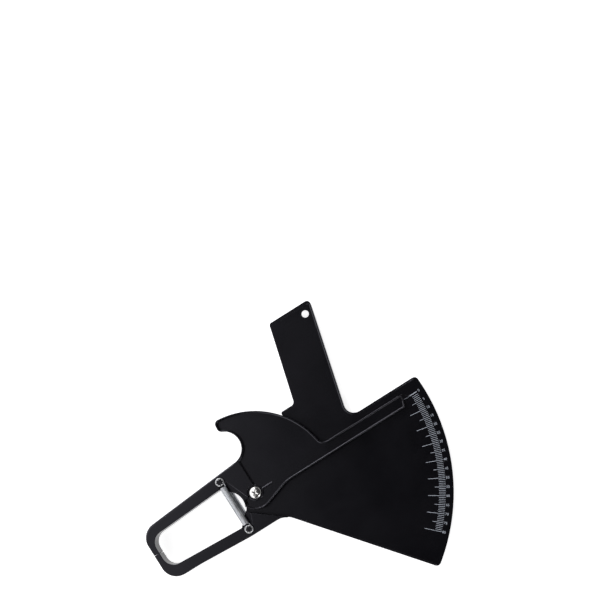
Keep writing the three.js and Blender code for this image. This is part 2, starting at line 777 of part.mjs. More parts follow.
// The hook round the lower post, open towards the coil.
function hookPoints() {
  return Array.from({ length: hookSteps + 1 }, (_, step) => {
    const point = polar(hookRadius, 90 + hookGap / 2 + step / hookSteps * (360 - hookGap));
    return new THREE.Vector3(point.x, point.y - postY, 0);
  });
}

// The lower hook and the coil as one wire along +Y, midway between the posts.
function coilPoints() {
  const hook = hookPoints();
  const coil = Array.from({ length: coilTurns * coilSteps + 1 }, (_, step) => {
    const angle = step / coilSteps * 2 * Math.PI;
    const y = -coilLength / 2 + pitch * step / coilSteps;
    return new THREE.Vector3(coilRadius * Math.cos(angle), y, coilRadius * Math.sin(angle));
  });
  const between = hook[hookSteps].clone().lerp(coil[0], 0.5);
  return [...hook, between, ...coil];
}

// The upper hook is the lower one turned end for end, with a short tail that reaches for the coil.
function upperHookPoints() {
  const hook = hookPoints().map((point) => new THREE.Vector3(-point.x, -point.y, 0));
  return [...hook, new THREE.Vector3(-coilRadius, coilLength / 2 + wire + seat, 0)];
}

// Least daylight between stretches of one wire that are not next to each other along it.
function leastGap(points) {
  const skip = coilSteps - 2;
  let least = Infinity;
  for (let a = 0; a < points.length - 1; a += 1) {
    for (let b = a + skip; b < points.length - 1; b += 1) {
      for (const share of [0, 0.5]) {
        const p = points[a].clone().lerp(points[a + 1], share);
        const q = points[b].clone().lerp(points[b + 1], share);
        least = Math.min(least, p.distanceTo(q) - wire);
      }
    }
  }
  return least;
}

const springPoints = coilPoints();
console.log(`least gap of the spring wire to itself ${leastGap(springPoints).toFixed(3)} mm`);
const springGeometry = wireAlong(springPoints);
const hookGeometry = wireAlong(upperHookPoints());
const ringGeometry = buildRing();

// Assembly

const caliper = new THREE.Group();
caliper.add(namedMesh('scale_body', geometryOf(buildBody()), blackPlastic));
caliper.add(namedMesh('trigger_lever', geometryOf(buildLever()), blackPlastic));
caliper.add(namedMesh('pivot_screw', geometryOf(buildScrew()), nickel));
caliper.add(namedMesh('pivot_nut', geometryOf(buildNut()), nickel));

// The set on the back is the front one turned over about X. Each spring keeps its lower hook on
// the post of the scale body, so the back spring is turned end for end as well.
const ringLevel = springLevel + wire / 2 + seat;
for (const side of ['front', 'back']) {
  const isFront = side === 'front';
  const set = new THREE.Group();
  set.rotation.x = isFront ? 0 : Math.PI;
  const spring = new THREE.Group();
  spring.position.set(postX, 0, springLevel);
  spring.rotation.z = isFront ? 0 : Math.PI;
  spring.add(namedMesh(`${side}_spring`, springGeometry, springSteel));
  spring.add(namedMesh(`${side}_spring_hook`, hookGeometry, springSteel));
  set.add(spring);
  for (const place of ['upper', 'lower']) {
    const ring = namedMesh(`${side}_${place}_ring`, ringGeometry, springSteel);
    const y = (place === 'upper') === isFront ? postY : -postY;
    ring.position.set(postX, y, ringLevel);
    set.add(ring);
  }
  caliper.add(set);
}

// Origin at the middle of the underside of the bounding box.
caliper.updateMatrixWorld(true);
const bounds = new THREE.Box3().setFromObject(caliper, true);
const middle = bounds.getCenter(new THREE.Vector3());
caliper.position.set(-middle.x, -middle.y, -bounds.min.z);

export default caliper;
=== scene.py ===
"""Looks of a skinfold caliper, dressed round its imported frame.

The two black mouldings keep the form of their CAD solids and get rounded edges. The springs, the
star rings, the pivot screw, the pivot nut and the printed scale are surfaces worked out on grids.
Sizes are in millimetres from the pivot, in the plane midway between the front and the back, and
become metres in the row frame when a mesh is made.
"""

import json
import logging
import math
from dataclasses import dataclass
from enum import Enum
from typing import Iterable, Sequence

import bmesh
import bpy
import numpy as np
from mathutils import Matrix, Vector

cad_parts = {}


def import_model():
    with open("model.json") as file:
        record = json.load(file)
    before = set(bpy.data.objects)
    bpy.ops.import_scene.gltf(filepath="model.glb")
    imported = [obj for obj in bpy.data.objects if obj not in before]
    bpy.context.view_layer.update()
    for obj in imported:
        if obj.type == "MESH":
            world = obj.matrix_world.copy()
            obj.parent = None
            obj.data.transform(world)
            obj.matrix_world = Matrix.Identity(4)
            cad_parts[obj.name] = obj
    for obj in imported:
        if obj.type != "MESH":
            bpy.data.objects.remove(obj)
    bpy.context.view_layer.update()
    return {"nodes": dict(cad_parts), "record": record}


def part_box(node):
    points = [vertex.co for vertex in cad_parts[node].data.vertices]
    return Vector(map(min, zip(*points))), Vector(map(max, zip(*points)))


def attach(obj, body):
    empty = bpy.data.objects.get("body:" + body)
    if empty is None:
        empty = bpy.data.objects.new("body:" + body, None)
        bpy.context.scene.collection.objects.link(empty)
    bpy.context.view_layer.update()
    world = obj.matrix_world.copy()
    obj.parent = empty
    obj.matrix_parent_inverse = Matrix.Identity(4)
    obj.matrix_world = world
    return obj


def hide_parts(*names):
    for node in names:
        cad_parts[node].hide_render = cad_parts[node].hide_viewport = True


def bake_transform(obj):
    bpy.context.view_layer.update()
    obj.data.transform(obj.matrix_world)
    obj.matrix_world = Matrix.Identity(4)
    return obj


MM = 0.001
LOG = logging.getLogger("caliper")

# Points nearer than this are merged: in meshes from the CAD, in new ones and in the print.
MERGE_CAD = MM / 50
MERGE_NEW = MM / 500
MERGE_PRINT = MM / 1000
# Rings of the dome that ends a wire, in degrees from its full ring.
CAP_ANGLES = (80.0, 55.0, 28.0)
# An edge this near to the arms' front lies on it, in millimetres.
LEVEL_MATCH = 0.05
# Y parts of a side wall's direction between which its edge grows to the wide radius.
WIDE_FACING = (0.25, 0.7)
# Place of the edges' material among the materials of a moulding: a lighter, shinier copy of the plastic,
# a painted highlight along the rounded edges.
EDGE_SLOT = 1
# Corners of a block's faces.
BLOCK_FACES = ((0, 3, 2, 1), (4, 5, 6, 7), (0, 1, 5, 4), (1, 2, 6, 5), (2, 3, 7, 6), (3, 0, 4, 7))
FULL_SPAN = (0.0, 1.0)
UP = np.array([0.0, 0.0, 1.0])
ASIDE = np.array([1.0, 0.0, 0.0])
# What half a turn about X multiplies the coordinates by.
HALF_TURN = np.array([1.0, -1.0, -1.0])
# Types of the sockets of a node group.
VECTOR = "NodeSocketVector"
VALUE = "NodeSocketFloat"

Colour = tuple[float, float, float]
Span = tuple[float, float]
Socket = bpy.types.NodeSocket


class Side(Enum):
    """The face of the caliper that a spring set lies on."""

    FRONT = "front"
    BACK = "back"

    @property
    def sign(self) -> int:
        """Sign of the side's heights.

        Returns:
            +1 on the front, -1 on the back.
        """
        return 1 if self is Side.FRONT else -1


class Post(Enum):
    """The post that a ring or a hook sits on."""

    UPPER = "upper"
    LOWER = "lower"

    @property
    def body(self) -> str:
        """Body that carries the post.

        Returns:
            Its name in the frame.
        """
        return "lever" if self is Post.UPPER else "scale"


class Slot(Enum):
    """Material slots of the record."""

    PLASTIC = "black_plastic"
    SPRING = "spring_steel"
    NICKEL = "nickel"


# Places


@dataclass(frozen=True)
class Layout:
    """Places of the caliper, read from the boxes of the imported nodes.

    Attributes:
        pivot: pivot in the middle plane, in metres in the row frame.
        post_x: the four posts along X from the pivot, in millimetres.
        post_y: the upper posts along Y from the pivot, in millimetres.
        spring_level: middle of the front coil above the middle plane, in millimetres.
        ring_level: underside of the front rings above the middle plane, in millimetres.
        ring_height: thickness of the rings, in millimetres.
        face_level: front of the scale plate above the middle plane, in millimetres.
    """

    pivot: np.ndarray
    post_x: float
    post_y: float
    spring_level: float
    ring_level: float
    ring_height: float
    face_level: float

    @classmethod
    def from_frame(cls, record: dict) -> "Layout":
        """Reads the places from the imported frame.

        Args:
            record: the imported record, whose mount scale_face lies on the scale plate.

        Returns:
            The layout of this pack.
        """
        screw_low, screw_high = (np.array(corner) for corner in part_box("pivot_screw"))
        ring_low, ring_high = (np.array(corner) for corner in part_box("front_upper_ring"))
        below_low, _ = (np.array(corner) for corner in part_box("back_upper_ring"))
        coil_low, coil_high = (np.array(corner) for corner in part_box("front_spring"))
        pivot = (screw_low + screw_high) / 2
        pivot[2] = (ring_high[2] + below_low[2]) / 2
        post = ((ring_low + ring_high) / 2 - pivot) / MM
        face = next(m for m in record["mounts"] if m["name"] == "scale_face")
        return cls(
            pivot=pivot,
            post_x=post[0],
            post_y=post[1],
            spring_level=((coil_low + coil_high) / 2 - pivot)[2] / MM,
            ring_level=(ring_low - pivot)[2] / MM,
            ring_height=(ring_high - ring_low)[2] / MM,
            face_level=(face["pos_m"][2] - pivot[2]) / MM,
        )

    def in_row(self, points: np.ndarray) -> np.ndarray:
        """Turns points into the row frame.

        Args:
            points: points in millimetres about the pivot, one row each.

        Returns:
            The points in metres.
        """
        return points * MM + self.pivot

    def post(self, place: Post) -> np.ndarray:
        """Foot of a post in the middle plane, which the posts of both sides share.

        Args:
            place: the upper or the lower post.

        Returns:
            The point in millimetres about the pivot.
        """
        return np.array([self.post_x, self.post_y if place is Post.UPPER else -self.post_y, 0.0])


# Surfaces


@dataclass
class Surface:
    """A mesh in the making.

    Attributes:
        points: vertex positions, one row each.
        faces: four vertex numbers a face.
        uv: two values for each corner of each face, or None.
    """

    points: np.ndarray
    faces: np.ndarray
    uv: np.ndarray | None = None

    def moved(self, offset: Sequence[float]) -> "Surface":
        """Shifts the surface.

        Args:
            offset: three millimetre values.

        Returns:
            The shifted surface.
        """
        return Surface(self.points + np.asarray(offset, float), self.faces, self.uv)

    def turned_over(self) -> "Surface":
        """Turns the surface by half a turn about X.

        Returns:
            The turned surface.
        """
        return Surface(self.points * HALF_TURN, self.faces, self.uv)

    def turned(self, angle: float) -> "Surface":
        """Turns the surface about Z.

        Args:
            angle: angle in radians.

        Returns:
            The turned surface.
        """
        cosine, sine = math.cos(angle), math.sin(angle)
        turn = np.array([[cosine, sine, 0.0], [-sine, cosine, 0.0], [0.0, 0.0, 1.0]])
        return Surface(self.points @ turn, self.faces, self.uv)


def joined(surfaces: Iterable[Surface]) -> Surface:
    """Puts several surfaces into one.

    Args:
        surfaces: surfaces without texture coordinates.

    Returns:
        One surface with all their points and faces.
    """
    parts = list(surfaces)
    starts = np.cumsum([0] + [len(part.points) for part in parts[:-1]])
    return Surface(
        np.concatenate([part.points for part in parts]),
        np.concatenate([part.faces + start for part, start in zip(parts, starts)]),
    )


def grid_faces(rows: int, columns: int, ring: bool) -> np.ndarray:
    """Quads of a grid: each joins a point, the next along its row, and the two in the row after.

    Args:
        rows: number of rows.
        columns: points in a row.
        ring: whether the last point of a row is joined to its first.

    Returns:
        An array of four vertex numbers a face.
    """
    row = np.arange(rows - 1)[:, None] * columns
    column = np.arange(columns if ring else columns - 1)[None, :]
    after = (column + 1) % columns
    corners = (row + column, row + after, row + columns + after, row + columns + column)
    return np.stack(corners, axis=-1).reshape(-1, 4)


def grid_surface(points: np.ndarray, ring: bool = True) -> Surface:
    """A surface over a grid of points.

    Args:
        points: array of rows, columns and three coordinates.
        ring: whether each row closes on itself.

    Returns:
        The surface, with a texture that runs once round a row and once over the rows.
    """
    rows, columns = points.shape[:2]
    faces = grid_faces(rows, columns, ring)
    across = (faces[:, :1] % columns + np.array([[0, 1, 1, 0]])) / columns
    along = (faces[:, :1] // columns + np.array([[0, 0, 1, 1]])) / (rows - 1)
    return Surface(points.reshape(-1, 3), faces, np.stack([across, along], axis=-1))


def turned_surface(profile: Sequence[tuple[float, float]], steps: int) -> Surface:
    """A profile carried round the Z axis: x = r cos a, y = r sin a, z = z for each profile point.

    Args:
        profile: radius and height of each point, in order along the profile.
        steps: points round the axis.

    Returns:
        The surface of revolution.
    """
    radius, height = np.array(profile, float).T
    angle = np.linspace(0, 2 * math.pi, steps, endpoint=False)
    points = np.stack(
        [
            radius[:, None] * np.cos(angle),
            radius[:, None] * np.sin(angle),
            np.repeat(height[:, None], steps, axis=1),
        ],
        axis=-1,
    )
    return grid_surface(points)


def with_ends(rows: np.ndarray, count: int) -> np.ndarray:
    """Repeats the first and the last row of an array.

    Args:
        rows: the array.
        count: how many copies go before it and after it.

    Returns:
        The longer array.
    """
    return np.concatenate([np.repeat(rows[:1], count, 0), rows, np.repeat(rows[-1:], count, 0)])


def smooth_step(share: np.ndarray) -> np.ndarray:
    """Smooth step 3 s^2 - 2 s^3 of a share from 0 to 1.

    Args:
        share: the shares, kept within 0 and 1.

    Returns:
        The steps.
    """
    return share * share * (3 - 2 * share)


def tube_surface(path: np.ndarray, guide: np.ndarray, radius: float, sides: int) -> Surface:
    """A round wire along a path, closed by a small dome at each end.

    At each path point the ring lies in the plane across the path. Its first axis is the guide less
    its share along the path, and its second is the cross product of the path's direction and the
    first. The domes are rings that shrink as the cosine while they move on as the sine.

    Args:
        path: points along the middle of the wire.
        guide: for each point, a direction that is never along the path.
        radius: radius of the wire.
        sides: points round the wire.

    Returns:
        The surface of the wire.
    """
    tangent = np.gradient(path, axis=0)
    tangent /= np.linalg.norm(tangent, axis=1, keepdims=True)
    cap = np.radians(CAP_ANGLES)
    lead = -np.sin(cap)[:, None] * radius
    centres = np.concatenate([path[:1] + lead * tangent[:1], path, path[-1:] - lead[::-1] * tangent[-1:]])
    sizes = np.concatenate([np.cos(cap), np.ones(len(path)), np.cos(cap)[::-1]]) * radius
    tangent = with_ends(tangent, len(cap))
    guide = with_ends(guide, len(cap))
    first = guide - np.sum(guide * tangent, axis=1, keepdims=True) * tangent
    first /= np.linalg.norm(first, axis=1, keepdims=True)
    second = np.cross(tangent, first)
    angle = np.linspace(0, 2 * math.pi, sides, endpoint=False)[None, :, None]
    rim = np.cos(angle) * first[:, None, :] + np.sin(angle) * second[:, None, :]
    points = centres[:, None, :] + rim * sizes[:, None, None]
    first_pole = np.repeat(centres[:1, None], sides, axis=1)
    last_pole = np.repeat(centres[-1:, None], sides, axis=1)
    return grid_surface(np.concatenate([first_pole, points, last_pole]))


def mesh_piece(
    name: str, surface: Surface, layout: Layout, smooth_below: float = 40.0
) -> bpy.types.Object:
    """Makes an object from a surface, with its place in its mesh.

    Args:
        name: name of the piece.
        surface: the surface, in millimetres about the pivot.
        layout: places of the caliper.
        smooth_below: edges that turn by less than this many degrees are shaded smooth.

    Returns:
        The new object, with doubled points merged and its faces pointing outwards.
    """
    mesh = bpy.data.meshes.new(name)
    mesh.from_pydata(layout.in_row(surface.points).tolist(), [], surface.faces.tolist())
    if surface.uv is not None:
        mesh.uv_layers.new(name="surface")
        mesh.uv_layers["surface"].data.foreach_set("uv", surface.uv.astype(np.float32).ravel())
    work = bmesh.new()
    work.from_mesh(mesh)
    bmesh.ops.remove_doubles(work, verts=work.verts, dist=MERGE_NEW)
    bmesh.ops.recalc_face_normals(work, faces=work.faces)
    work.to_mesh(mesh)
    work.free()
    mesh.shade_smooth()
    mesh.set_sharp_from_angle(angle=math.radians(smooth_below))
    piece = bpy.data.objects.new(name, mesh)
    bpy.context.scene.collection.objects.link(piece)
    return piece


# Shader nodes


class NodeBench:
    """Adds nodes to one tree and joins them."""

    def __init__(self, tree: bpy.types.NodeTree) -> None:
        """Starts with an empty tree.

        Args:
            tree: the tree to fill.
        """
        self.tree = tree
        tree.nodes.clear()

    def add(self, kind: str, values: dict | None = None, **settings: object) -> bpy.types.Node:
        """Adds a node.

        Args:
            kind: Blender's name of the node type.
            values: value or source socket for each named or numbered input.
            **settings: properties of the node.

        Returns:
            The new node.
        """
        node = self.tree.nodes.new(kind)
        for key, value in settings.items():
            setattr(node, key, value)
        for key, value in (values or {}).items():
            if isinstance(value, bpy.types.NodeSocket):
                self.tree.links.new(value, node.inputs[key])
            else:
                node.inputs[key].default_value = value
        return node

    def mix(self, factor: Socket, first: Socket | Colour, second: Socket | Colour) -> Socket:
        """A colour between two colours.

        Args:
            factor: 0 gives the first colour and 1 the second.
            first: colour or source socket.
            second: colour or source socket.

        Returns:
            The socket of the mixed colour.
        """
        node = self.add("ShaderNodeMix", data_type="RGBA")
        sockets = {socket.identifier: socket for socket in node.inputs}
        self.tree.links.new(factor, sockets["Factor_Float"])
        for name, value in (("A_Color", first), ("B_Color", second)):
            if isinstance(value, bpy.types.NodeSocket):
                self.tree.links.new(value, sockets[name])
            else:
                sockets[name].default_value = (*value, 1.0)
        return next(socket for socket in node.outputs if socket.identifier == "Result_Color")

    def spread(self, source: Socket, given: Span, target: Span = FULL_SPAN) -> Socket:
        """Maps a value linearly and keeps it within its target.

        Args:
            source: value to map.
            given: source values that reach the ends of the target.
            target: the two ends of the target.

        Returns:
            The socket of the mapped value.
        """
        keys = ("From Min", "From Max", "To Min", "To Max")
        values = {"Value": source, **dict(zip(keys, (*given, *target)))}
        return self.add("ShaderNodeMapRange", values, clamp=True).outputs["Result"]

    def join(self, operation: str, first: Socket, second: Socket | float) -> Socket:
        """Joins two values by a sum, a product or another operation.

        Args:
            operation: Blender's name of the operation.
            first: value.
            second: value or number.

        Returns:
            The socket of the result.
        """
        return self.add("ShaderNodeMath", {0: first, 1: second}, operation=operation).outputs[0]

    def bump(self, height: Socket, strength: float, depth: float) -> Socket:
        """Bends the normal by a height.

        Args:
            height: the height.
            strength: strength of the bump.
            depth: what a height of 1 stands for, in metres.

        Returns:
            The socket of the bent normal.
        """
        values = {"Strength": strength, "Distance": depth, "Height": height}
        return self.add("ShaderNodeBump", values).outputs["Normal"]


@dataclass(frozen=True)
class Noise:
    """Settings of one noise texture.

    Attributes:
        scale: size of its cells, as cells in a unit of the vector.
        detail: number of finer layers.
        roughness: strength of the finer layers.
        distortion: how far the cells are bent.
    """

    scale: float = 1.0
    detail: float = 2.0
    roughness: float = 0.5
    distortion: float = 0.0

    def add(self, bench: NodeBench, vector: Socket, scale: Socket | None = None) -> Socket:
        """Adds the texture to a tree.

        Args:
            bench: bench of the tree.
            vector: place to read the noise at.
            scale: source of the scale where it isn't fixed.

        Returns:
            The socket of its value.
        """
        values = {
            "Vector": vector,
            "Scale": self.scale if scale is None else scale,
            "Detail": self.detail,
            "Roughness": self.roughness,
            "Distortion": self.distortion,
        }
        return bench.add("ShaderNodeTexNoise", values).outputs["Fac"]


def node_group(
    name: str, inputs: Sequence[tuple[str, str]], outputs: Sequence[tuple[str, str]]
) -> tuple[bpy.types.NodeTree, NodeBench, bpy.types.Node, bpy.types.Node]:
    """Starts a shader node group.

    Args:
        name: name of the group.
        inputs: name and socket type of each input.
        outputs: name and socket type of each output.

    Returns:
        The group's tree, its bench, its input node and its output node.
    """
    tree = bpy.data.node_groups.new(name, "ShaderNodeTree")
    for direction, sockets in (("INPUT", inputs), ("OUTPUT", outputs)):
        for label, kind in sockets:
            tree.interface.new_socket(name=label, in_out=direction, socket_type=kind)
    bench = NodeBench(tree)
    return tree, bench, bench.add("NodeGroupInput"), bench.add("NodeGroupOutput")


@dataclass(frozen=True)
class EffectSizes:
    """Sizes of the shared effects.

    Attributes:
        fine: the grain's fine noise, whose scale each finish gives.
        coarse: the grain's coarser noise.
        mottle: the slow noise of the mottling.
        mottle_span: its values that give no mottling and full mottling.
        rub: the slow noise of the rubbed patches.
        rub_span: its values that give no rub and full rub.
        line: the noise that is stretched into scratches.
        line_layers: direction in radians and stretch along it of both layers of scratches.
        line_pitch: fineness of the scratches across their direction.
        line_span: values of the noise that give no scratch and a full one.
        streak: the noise that is stretched into drawn streaks.
        tarnish: the slow noise of the tarnish.
        tarnish_span: its values that give no tarnish and full tarnish.
    """

    fine: Noise = Noise(detail=3.0)
    coarse: Noise = Noise(scale=420.0, detail=2.0)
    mottle: Noise = Noise(scale=34.0, detail=4.0, distortion=0.6)
    mottle_span: Span = (0.3, 0.7)
    rub: Noise = Noise(scale=21.0, detail=6.0, roughness=0.62)
    rub_span: Span = (0.48, 0.72)
    line: Noise = Noise(detail=1.0)
    line_layers: tuple[tuple[float, float], tuple[float, float]] = ((0.5, 26.0), (2.2, 18.0))
    line_pitch: float = 900.0
    line_span: Span = (0.71, 0.76)
    streak: Noise = Noise(detail=4.0)
    tarnish: Noise = Noise(scale=190.0, detail=3.0)
    tarnish_span: Span = (0.35, 0.7)


@dataclass(frozen=True)
class SharedEffects:
    """Node groups that several finishes use.

    Attributes:
        grain: fine texture of a tool surface, and slow mottling.
        handling: rubbed patches and thin scratches.
        drawing: long streaks of drawn or turned metal.
    """

    grain: bpy.types.NodeTree
    handling: bpy.types.NodeTree
    drawing: bpy.types.NodeTree

    @classmethod
    def build(cls, sizes: EffectSizes) -> "SharedEffects":
        """Builds the three groups.

        Args:
            sizes: sizes of the effects.

        Returns:
            The groups.
        """
        return cls(cls._grain(sizes), cls._handling(sizes), cls._drawing(sizes))

    @staticmethod
    def _grain(sizes: EffectSizes) -> bpy.types.NodeTree:
        """Grain: a fine noise and a coarser one added up; mottling: a slow noise.

        Args:
            sizes: sizes of the effects.

        Returns:
            The group.
        """
        tree, bench, given, result = node_group(
            "moulding grain",
            [("Vector", VECTOR), ("Fineness", VALUE)],
            [("Height", VALUE), ("Mottle", VALUE)],
        )
        place, fineness = given.outputs[0], given.outputs[1]
        fine = sizes.fine.add(bench, place, fineness)
        coarse = sizes.coarse.add(bench, place)
        mottle = bench.spread(sizes.mottle.add(bench, place), sizes.mottle_span)
        tree.links.new(bench.join("ADD", fine, coarse), result.inputs[0])
        tree.links.new(mottle, result.inputs[1])
        return tree

    @staticmethod
    def _handling(sizes: EffectSizes) -> bpy.types.NodeTree:
        """Rub: a slow noise cut to its peaks; scratches: thin bands of a noise stretched one way.

        Args:
            sizes: sizes of the effects.

        Returns:
            The group.
        """
        tree, bench, given, result = node_group(
            "handling marks", [("Vector", VECTOR)], [("Rub", VALUE), ("Scratches", VALUE)]
        )
        place = given.outputs[0]
        rub = bench.spread(sizes.rub.add(bench, place), sizes.rub_span)
        layers = []
        for turn, stretch in sizes.line_layers:
            lengthened = bench.add(
                "ShaderNodeMapping",
                {
                    "Vector": place,
                    "Rotation": (0.0, 0.0, turn),
                    "Scale": (stretch, sizes.line_pitch, stretch),
                },
            )
            lines = sizes.line.add(bench, lengthened.outputs[0])
            layers.append(bench.spread(lines, sizes.line_span))
        tree.links.new(rub, result.inputs[0])
        tree.links.new(bench.join("MAXIMUM", *layers), result.inputs[1])
        return tree

    @staticmethod
    def _drawing(sizes: EffectSizes) -> bpy.types.NodeTree:
        """Streaks: a noise stretched along the second coordinate; tarnish: a slow noise.

        Args:
            sizes: sizes of the effects.

        Returns:
            The group.
        """
        tree, bench, given, result = node_group(
            "drawn metal",
            [("Vector", VECTOR), ("Across", VALUE), ("Along", VALUE)],
            [("Streak", VALUE), ("Tarnish", VALUE)],
        )
        scale = bench.add(
            "ShaderNodeCombineXYZ", {"X": given.outputs[1], "Y": given.outputs[2], "Z": 1.0}
        )
        stretched = bench.add(
            "ShaderNodeMapping", {"Vector": given.outputs[0], "Scale": scale.outputs[0]}
        )
        streak = sizes.streak.add(bench, stretched.outputs[0])
        place = bench.add("ShaderNodeTexCoord").outputs["Object"]
        tarnish = bench.spread(sizes.tarnish.add(bench, place), sizes.tarnish_span)
        tree.links.new(streak, result.inputs[0])
        tree.links.new(tarnish, result.inputs[1])
        return tree


def new_material(name: str) -> tuple[bpy.types.Material, NodeBench]:
    """Starts a node material.

    Args:
        name: name of the material.

    Returns:
        The material and the bench of its tree.
    """
    material = bpy.data.materials.new(name)
    material.use_nodes = True
    return material, NodeBench(material.node_tree)


@dataclass(frozen=True)
class PlasticFinish:
    """Black injection moulding.

    Attributes:
        name: name of the material.
        dark: colour of the deeper patches.
        light: colour of the paler patches.
        smooth: roughness where the surface is rubbed.
        rough: roughness of the untouched grain.
        specular: specular level.
        tint: tint of the shine.
        fineness: scale of the grain, in cells per metre.
        relief: strength of the grain's bump.
        depth: depth of the grain, in metres.
        scratch: colour of the scratches.
    """

    name: str = "black plastic"
    dark: Colour = (0.0012, 0.0012, 0.0020)
    light: Colour = (0.0026, 0.0025, 0.0037)
    smooth: float = 0.20
    rough: float = 0.25
    specular: float = 0.36
    tint: Colour = (0.88, 0.87, 1.0)
    fineness: float = 2600.0
    relief: float = 0.10
    depth: float = MM / 20
    scratch: Colour = (0.0042, 0.0042, 0.0050)

    def build(self, effects: SharedEffects) -> bpy.types.Material:
        """Makes the material.

        Args:
            effects: the shared node groups.

        Returns:
            The material.
        """
        material, bench = new_material(self.name)
        place = bench.add("ShaderNodeTexCoord").outputs["Object"]
        grain = bench.add(
            "ShaderNodeGroup", {"Vector": place, "Fineness": self.fineness}, node_tree=effects.grain
        )
        marks = bench.add("ShaderNodeGroup", {"Vector": place}, node_tree=effects.handling)
        ground = bench.mix(grain.outputs["Mottle"], self.dark, self.light)
        colour = bench.mix(marks.outputs["Scratches"], ground, self.scratch)
        roughness = bench.spread(marks.outputs["Rub"], FULL_SPAN, (self.rough, self.smooth))
        normal = bench.bump(grain.outputs["Height"], self.relief, self.depth)
        shader = bench.add(
            "ShaderNodeBsdfPrincipled",
            {
                "Base Color": colour,
                "Roughness": roughness,
                "Specular IOR Level": self.specular,
                "Specular Tint": (*self.tint, 1.0),
                "Normal": normal,
            },
        )
        bench.add("ShaderNodeOutputMaterial", {"Surface": shader.outputs["BSDF"]})
        return material


@dataclass(frozen=True)
class MetalFinish:
    """Plated steel or nickel.

    Attributes:
        name: name of the material.
        bright: colour of the clean metal.
        dull: colour of the tarnished patches.
        smooth: lowest roughness.
        rough: highest roughness.
        across: streaks across the texture's first direction.
        along: streaks along its second direction.
        relief: strength of the streaks' bump.
        edge_tint: share of the colour that is left where the surface turns away.
        depth: depth of the streaks, in metres.
        streak_span: values of the streaks that give the lowest and the highest roughness.
    """

    name: str
    bright: Colour
    dull: Colour
    smooth: float
    rough: float
    across: float
    along: float
    relief: float
    edge_tint: float
    depth: float = MM / 50
    streak_span: Span = (0.3, 0.7)

    def build(self, effects: SharedEffects) -> bpy.types.Material:
        """Makes the material.

        Args:
            effects: the shared node groups.

        Returns:
            The material.
        """
        material, bench = new_material(self.name)
        place = bench.add("ShaderNodeTexCoord")
        drawn = bench.add(
            "ShaderNodeGroup",
            {"Vector": place.outputs["UV"], "Across": self.across, "Along": self.along},
            node_tree=effects.drawing,
        )
        marks = bench.add(
            "ShaderNodeGroup", {"Vector": place.outputs["Object"]}, node_tree=effects.handling
        )
        clean = bench.mix(drawn.outputs["Tarnish"], self.bright, self.dull)
        colour = bench.mix(marks.outputs["Scratches"], clean, self.bright)
        roughness = bench.spread(drawn.outputs["Streak"], self.streak_span, (self.smooth, self.rough))
        normal = bench.bump(drawn.outputs["Streak"], self.relief, self.depth)
        shader = bench.add(
            "ShaderNodeBsdfPrincipled",
            {
                "Base Color": colour,
                "Metallic": 1.0,
                "Specular Tint": (self.edge_tint, self.edge_tint, self.edge_tint, 1.0),
                "Roughness": roughness,
                "Normal": normal,
            },
        )
        bench.add("ShaderNodeOutputMaterial", {"Surface": shader.outputs["BSDF"]})
        return material


@dataclass(frozen=True)
class InkFinish:
    """White pad-printed ink that lets some of the black show.

    Attributes:
        name: name of the material.
        full: colour of the thick ink.
        thin: colour of the thin ink.
        smooth: lowest roughness.
        rough: highest roughness.
        fineness: scale of the ink's grain, in cells per metre.
        cover_span: heights of the grain that give thin and thick ink.
        relief: strength of the grain's bump.
        depth: depth of the grain, in metres.
    """

    name: str = "white ink"
    full: Colour = (0.60, 0.64, 0.72)
    thin: Colour = (0.33, 0.36, 0.43)
    smooth: float = 0.47
    rough: float = 0.63
    fineness: float = 5200.0
    cover_span: Span = (0.7, 1.2)
    relief: float = 0.15
    depth: float = MM / 50

    def build(self, effects: SharedEffects) -> bpy.types.Material:
        """Makes the material.

        Args:
            effects: the shared node groups.

        Returns:
            The material.
        """
        material, bench = new_material(self.name)
        place = bench.add("ShaderNodeTexCoord").outputs["Object"]
        grain = bench.add(
            "ShaderNodeGroup", {"Vector": place, "Fineness": self.fineness}, node_tree=effects.grain
        )
        cover = bench.spread(grain.outputs["Height"], self.cover_span)
        colour = bench.mix(cover, self.thin, self.full)
        roughness = bench.spread(grain.outputs["Mottle"], FULL_SPAN, (self.smooth, self.rough))
        normal = bench.bump(grain.outputs["Height"], self.relief, self.depth)
        values = {"Base Color": colour, "Roughness": roughness, "Normal": normal}
        shader = bench.add("ShaderNodeBsdfPrincipled", values)
        bench.add("ShaderNodeOutputMaterial", {"Surface": shader.outputs["BSDF"]})
        return material


